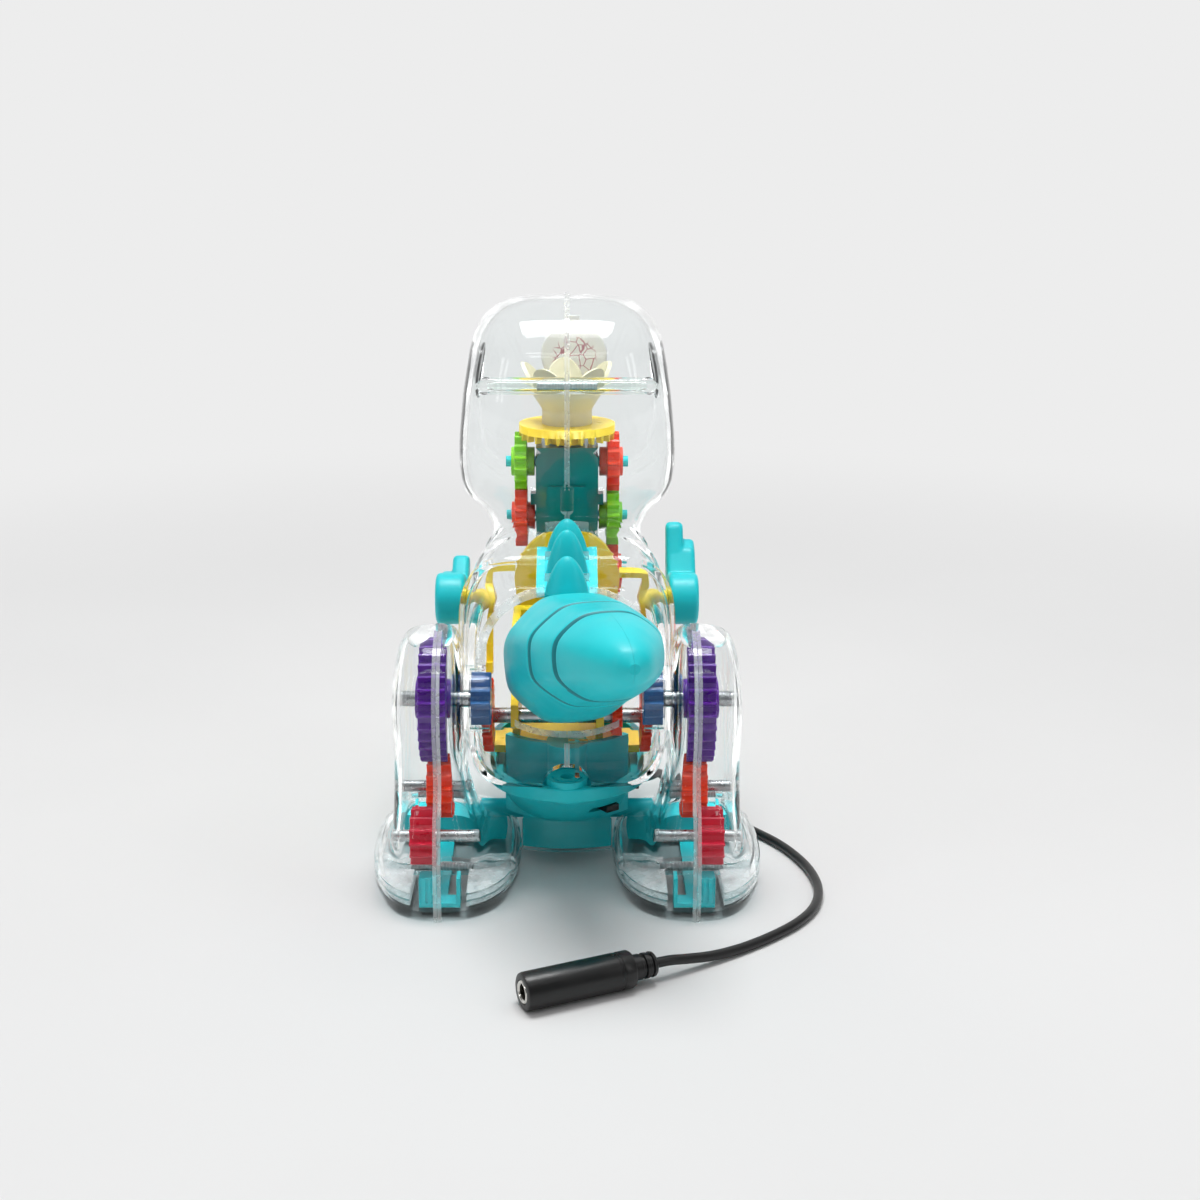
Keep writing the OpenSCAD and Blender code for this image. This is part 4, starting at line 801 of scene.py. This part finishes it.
place(bevelled(base, 0.22), "toy", "teal", "base_tub")
skirt = stack("baseSkirt", [arcBand((0, -19), 35.6, 34.4, 70.4, 109.6)] * 2, [4.2, 13.0])
place(bevelled(skirt, 0.3), "toy", "clear_shell", "base_skirt")
print("base made")

# Eyes: shallow domes with a groove round the pupil.
eyeOutline = [
    (0.05, 0.8), (8, 0.8), (8, 1.9), (7.7, 2.2), (7, 2.5), (6, 2.75), (5.2, 2.9), (5.05, 2.7), (4.85, 2.7), (4.7, 3.0),
    (3.6, 3.2), (2.2, 3.32), (1, 3.38), (0.05, 3.4)]
eyeLeft = moved(lathe("eyes", eyeOutline), eyePose @ Matrix.Rotation(math.radians(90), 4, "Y"))
eyeRight = mirrored(eyeLeft, "eyeRight")
combine(eyeLeft, "UNION", eyeRight)
place(eyeLeft, "toy", "eye_black", "eyes")

# Lamp cup: a turned cup whose upper edge runs in five petals, flaring where a petal is tall.
cup = {"base": 110.1, "centre": -35.004, "high": 16.4, "notch": 8.0, "wall": 1.1, "floor": 1.4, "bore": 3.6,
       "sides": 160}
turnRound = fullTurn(cup["sides"])
petal = np.abs(np.cos(2.5 * turnRound + 0.6)) ** 0.8
topEdge = cup["high"] - cup["notch"] * (1 - petal)
height = np.linspace(0, 1, 24)[:, None] * topEdge[None]
outer = np.interp(height, [0, 4, 8, cup["high"]], [6.9, 6.9, 9.4, 12.0]) + petal[None] * (height / cup["high"]) ** 3
inside = np.maximum(height[::-1], cup["floor"])
rings = list(zip(outer, height)) + list(zip(outer[::-1] - cup["wall"], inside))
rings += [(np.full(cup["sides"], cup["bore"]), np.full(cup["sides"], z)) for z in (cup["floor"], 0.0)]
cosine, sine = np.cos(turnRound), np.sin(turnRound)
grid = np.array([np.stack([r * cosine, r * sine + cup["centre"], z + cup["base"]], -1) for r, z in rings])
m, n = len(rings), cup["sides"]
i, j = np.meshgrid(np.arange(m), np.arange(n), indexing="ij")
i2, j2 = (i + 1) % m, (j + 1) % n
cupFaces = np.stack([i * n + j, i * n + j2, i2 * n + j2, i2 * n + j], -1).reshape(-1, 4)
place(sealed("lampCup", grid.reshape(-1, 3) * mm, cupFaces.tolist(), 50), "crown", "cream", "lamp_cup")
print("head pieces made")

# Reflector: a white disc with a tab; its material prints the net of lines.
reflectorOutline = [(0.05, 0), (9.0, 0), (9.4, 0.3), (9.4, 1.1), (9.0, 1.4), (6.5, 1.2), (0.05, 0.8)]
reflector = lathe("lampReflector", reflectorOutline)
combine(reflector, "UNION", block((-1.5, 6, 0.1), (1.5, 11.2, 1.2)))
moved(reflector, Matrix.Translation((-0.002, -0.052, 0.1266)) @ Matrix.Rotation(math.radians(90), 4, "X"))
place(reflector, "toy", "reflector_white", "lamp_reflector")

# What stays CAD: broken edges and the material of its slot.
slotOf = {s["node"]: s["material_slot"] for s in frame["record"]["subparts"]}
for name, node in nodes.items():
    node.data.materials.clear()
    node.data.materials.append(screwSteel if name == "case_screws" else materialOfSlot[slotOf[name]])
    if not node.hide_render and name not in ("battery_cells", "leg_pins", "case_screws"):
        node.modifiers.new("weld", "WELD").merge_threshold = 2e-6
        bevelled(node, 0.2, 32)
print("CAD pieces dressed")

# Floor, backdrop and soft light: the sheet shades like paper near the toy and is plain pale grey far off.
pale = hexColour("#EDEDED")
floorShade, tree, output, coords = newMaterial("paleFloor")
fibres = spread(tree, noiseOf(tree, coords, 6.0), 0.0, 1.0)
paper = addNode(tree, "ShaderNodeBsdfDiffuse", links={"Color": twoTone(tree, fibres, "#E2E2E2", "#E5E5E5")})
plain = addNode(tree, "ShaderNodeEmission", {"Color": pale, "Strength": 1.0})
away = distanceTo(tree, coords, (0.0, 0.0, 0.0))
faded = remap(tree, away, 0.16, 0.6, interpolation_type="SMOOTHSTEP")
path = addNode(tree, "ShaderNodeLightPath").outputs
seen = mathOf(tree, "MAXIMUM", mathOf(tree, "MAXIMUM", path["Is Camera Ray"], path["Is Glossy Ray"]),
              path["Is Transmission Ray"])
sheetMix = addNode(tree, "ShaderNodeMixShader", links={0: mathOf(tree, "MULTIPLY", faded, seen),
                                                       1: paper.outputs[0], 2: plain.outputs[0]})
tree.links.new(sheetMix.outputs[0], output.inputs["Surface"])
backdrop = {"front": 3.0, "bendFrom": -1.6, "bendR": 1.5, "rear": -3.1, "top": 4.0, "half": 5.0}
sweep = np.linspace(0, math.pi / 2, 40)
bend = np.stack([backdrop["bendFrom"] - backdrop["bendR"] * np.sin(sweep),
                 backdrop["bendR"] - backdrop["bendR"] * np.cos(sweep)], -1)
profile = np.vstack([[(backdrop["front"], 0.0)], bend, [(backdrop["rear"], backdrop["top"])]])
count = len(profile)
sheet = np.stack([np.column_stack([np.full(count, x), profile]) for x in (-backdrop["half"], backdrop["half"])])
strips = [(k + count, k, k + 1, k + 1 + count) for k in range(count - 1)]
floor = sealed("floor", sheet.reshape(-1, 3), strips, 60)
floor.data.materials.append(floorShade)
world = bpy.data.worlds.new("studio")
scene.world = world
world.use_nodes = True
sky = world.node_tree
direction = addNode(sky, "ShaderNodeTexCoord").outputs["Generated"]
facing = addNode(sky, "ShaderNodeVectorMath", {1: (0.0, -0.45, 0.893)}, {0: direction},
                 operation="DOT_PRODUCT").outputs["Value"]
overhead = remap(sky, facing, 0.35, 0.97, 0.22, 0.86, interpolation_type="SMOOTHSTEP")
lit = addNode(sky, "ShaderNodeBackground", {"Color": (1, 1, 1, 1)}, {"Strength": overhead})
plainSky = addNode(sky, "ShaderNodeBackground", {"Color": pale, "Strength": 1.0})
skyPath = addNode(sky, "ShaderNodeLightPath").outputs
skyMix = addNode(sky, "ShaderNodeMixShader", links={0: skyPath["Is Camera Ray"], 1: lit.outputs[0],
                                                    2: plainSky.outputs[0]})
sky.links.new(skyMix.outputs[0], sky.nodes["World Output"].inputs["Surface"])


def softbox(name, place, aim, size, power):
    data = bpy.data.lights.new(name, "AREA")
    data.shape, data.size, data.size_y, data.energy = "RECTANGLE", size[0], size[1], power
    lamp = bpy.data.objects.new(name, data)
    scene.collection.objects.link(lamp)
    lamp.location = place
    way = np.array(aim) - np.array(place)
    yaw, pitch = math.atan2(way[1], way[0]), math.atan2(way[2], math.hypot(way[0], way[1]))
    lamp.rotation_euler = (math.pi / 2 + pitch, 0, yaw - math.pi / 2)


for lamp in (("keyLight", (0.0, -0.04, 1.0), (0, 0, 0.05), (0.5, 0.3), 6.0),
             ("rearStrip", (0.0, 0.5, 0.75), (0, 0, 0.1), (0.5, 0.04), 0.4),
             ("leftLight", (0.7, 0.45, 0.4), (0, 0, 0.07), (0.06, 0.5), 0.5),
             ("rightLight", (-0.7, 0.4, 0.45), (0, 0, 0.07), (0.06, 0.5), 0.5)):
    softbox(*lamp)
scene.view_settings.view_transform = "Standard"
print("stage made")
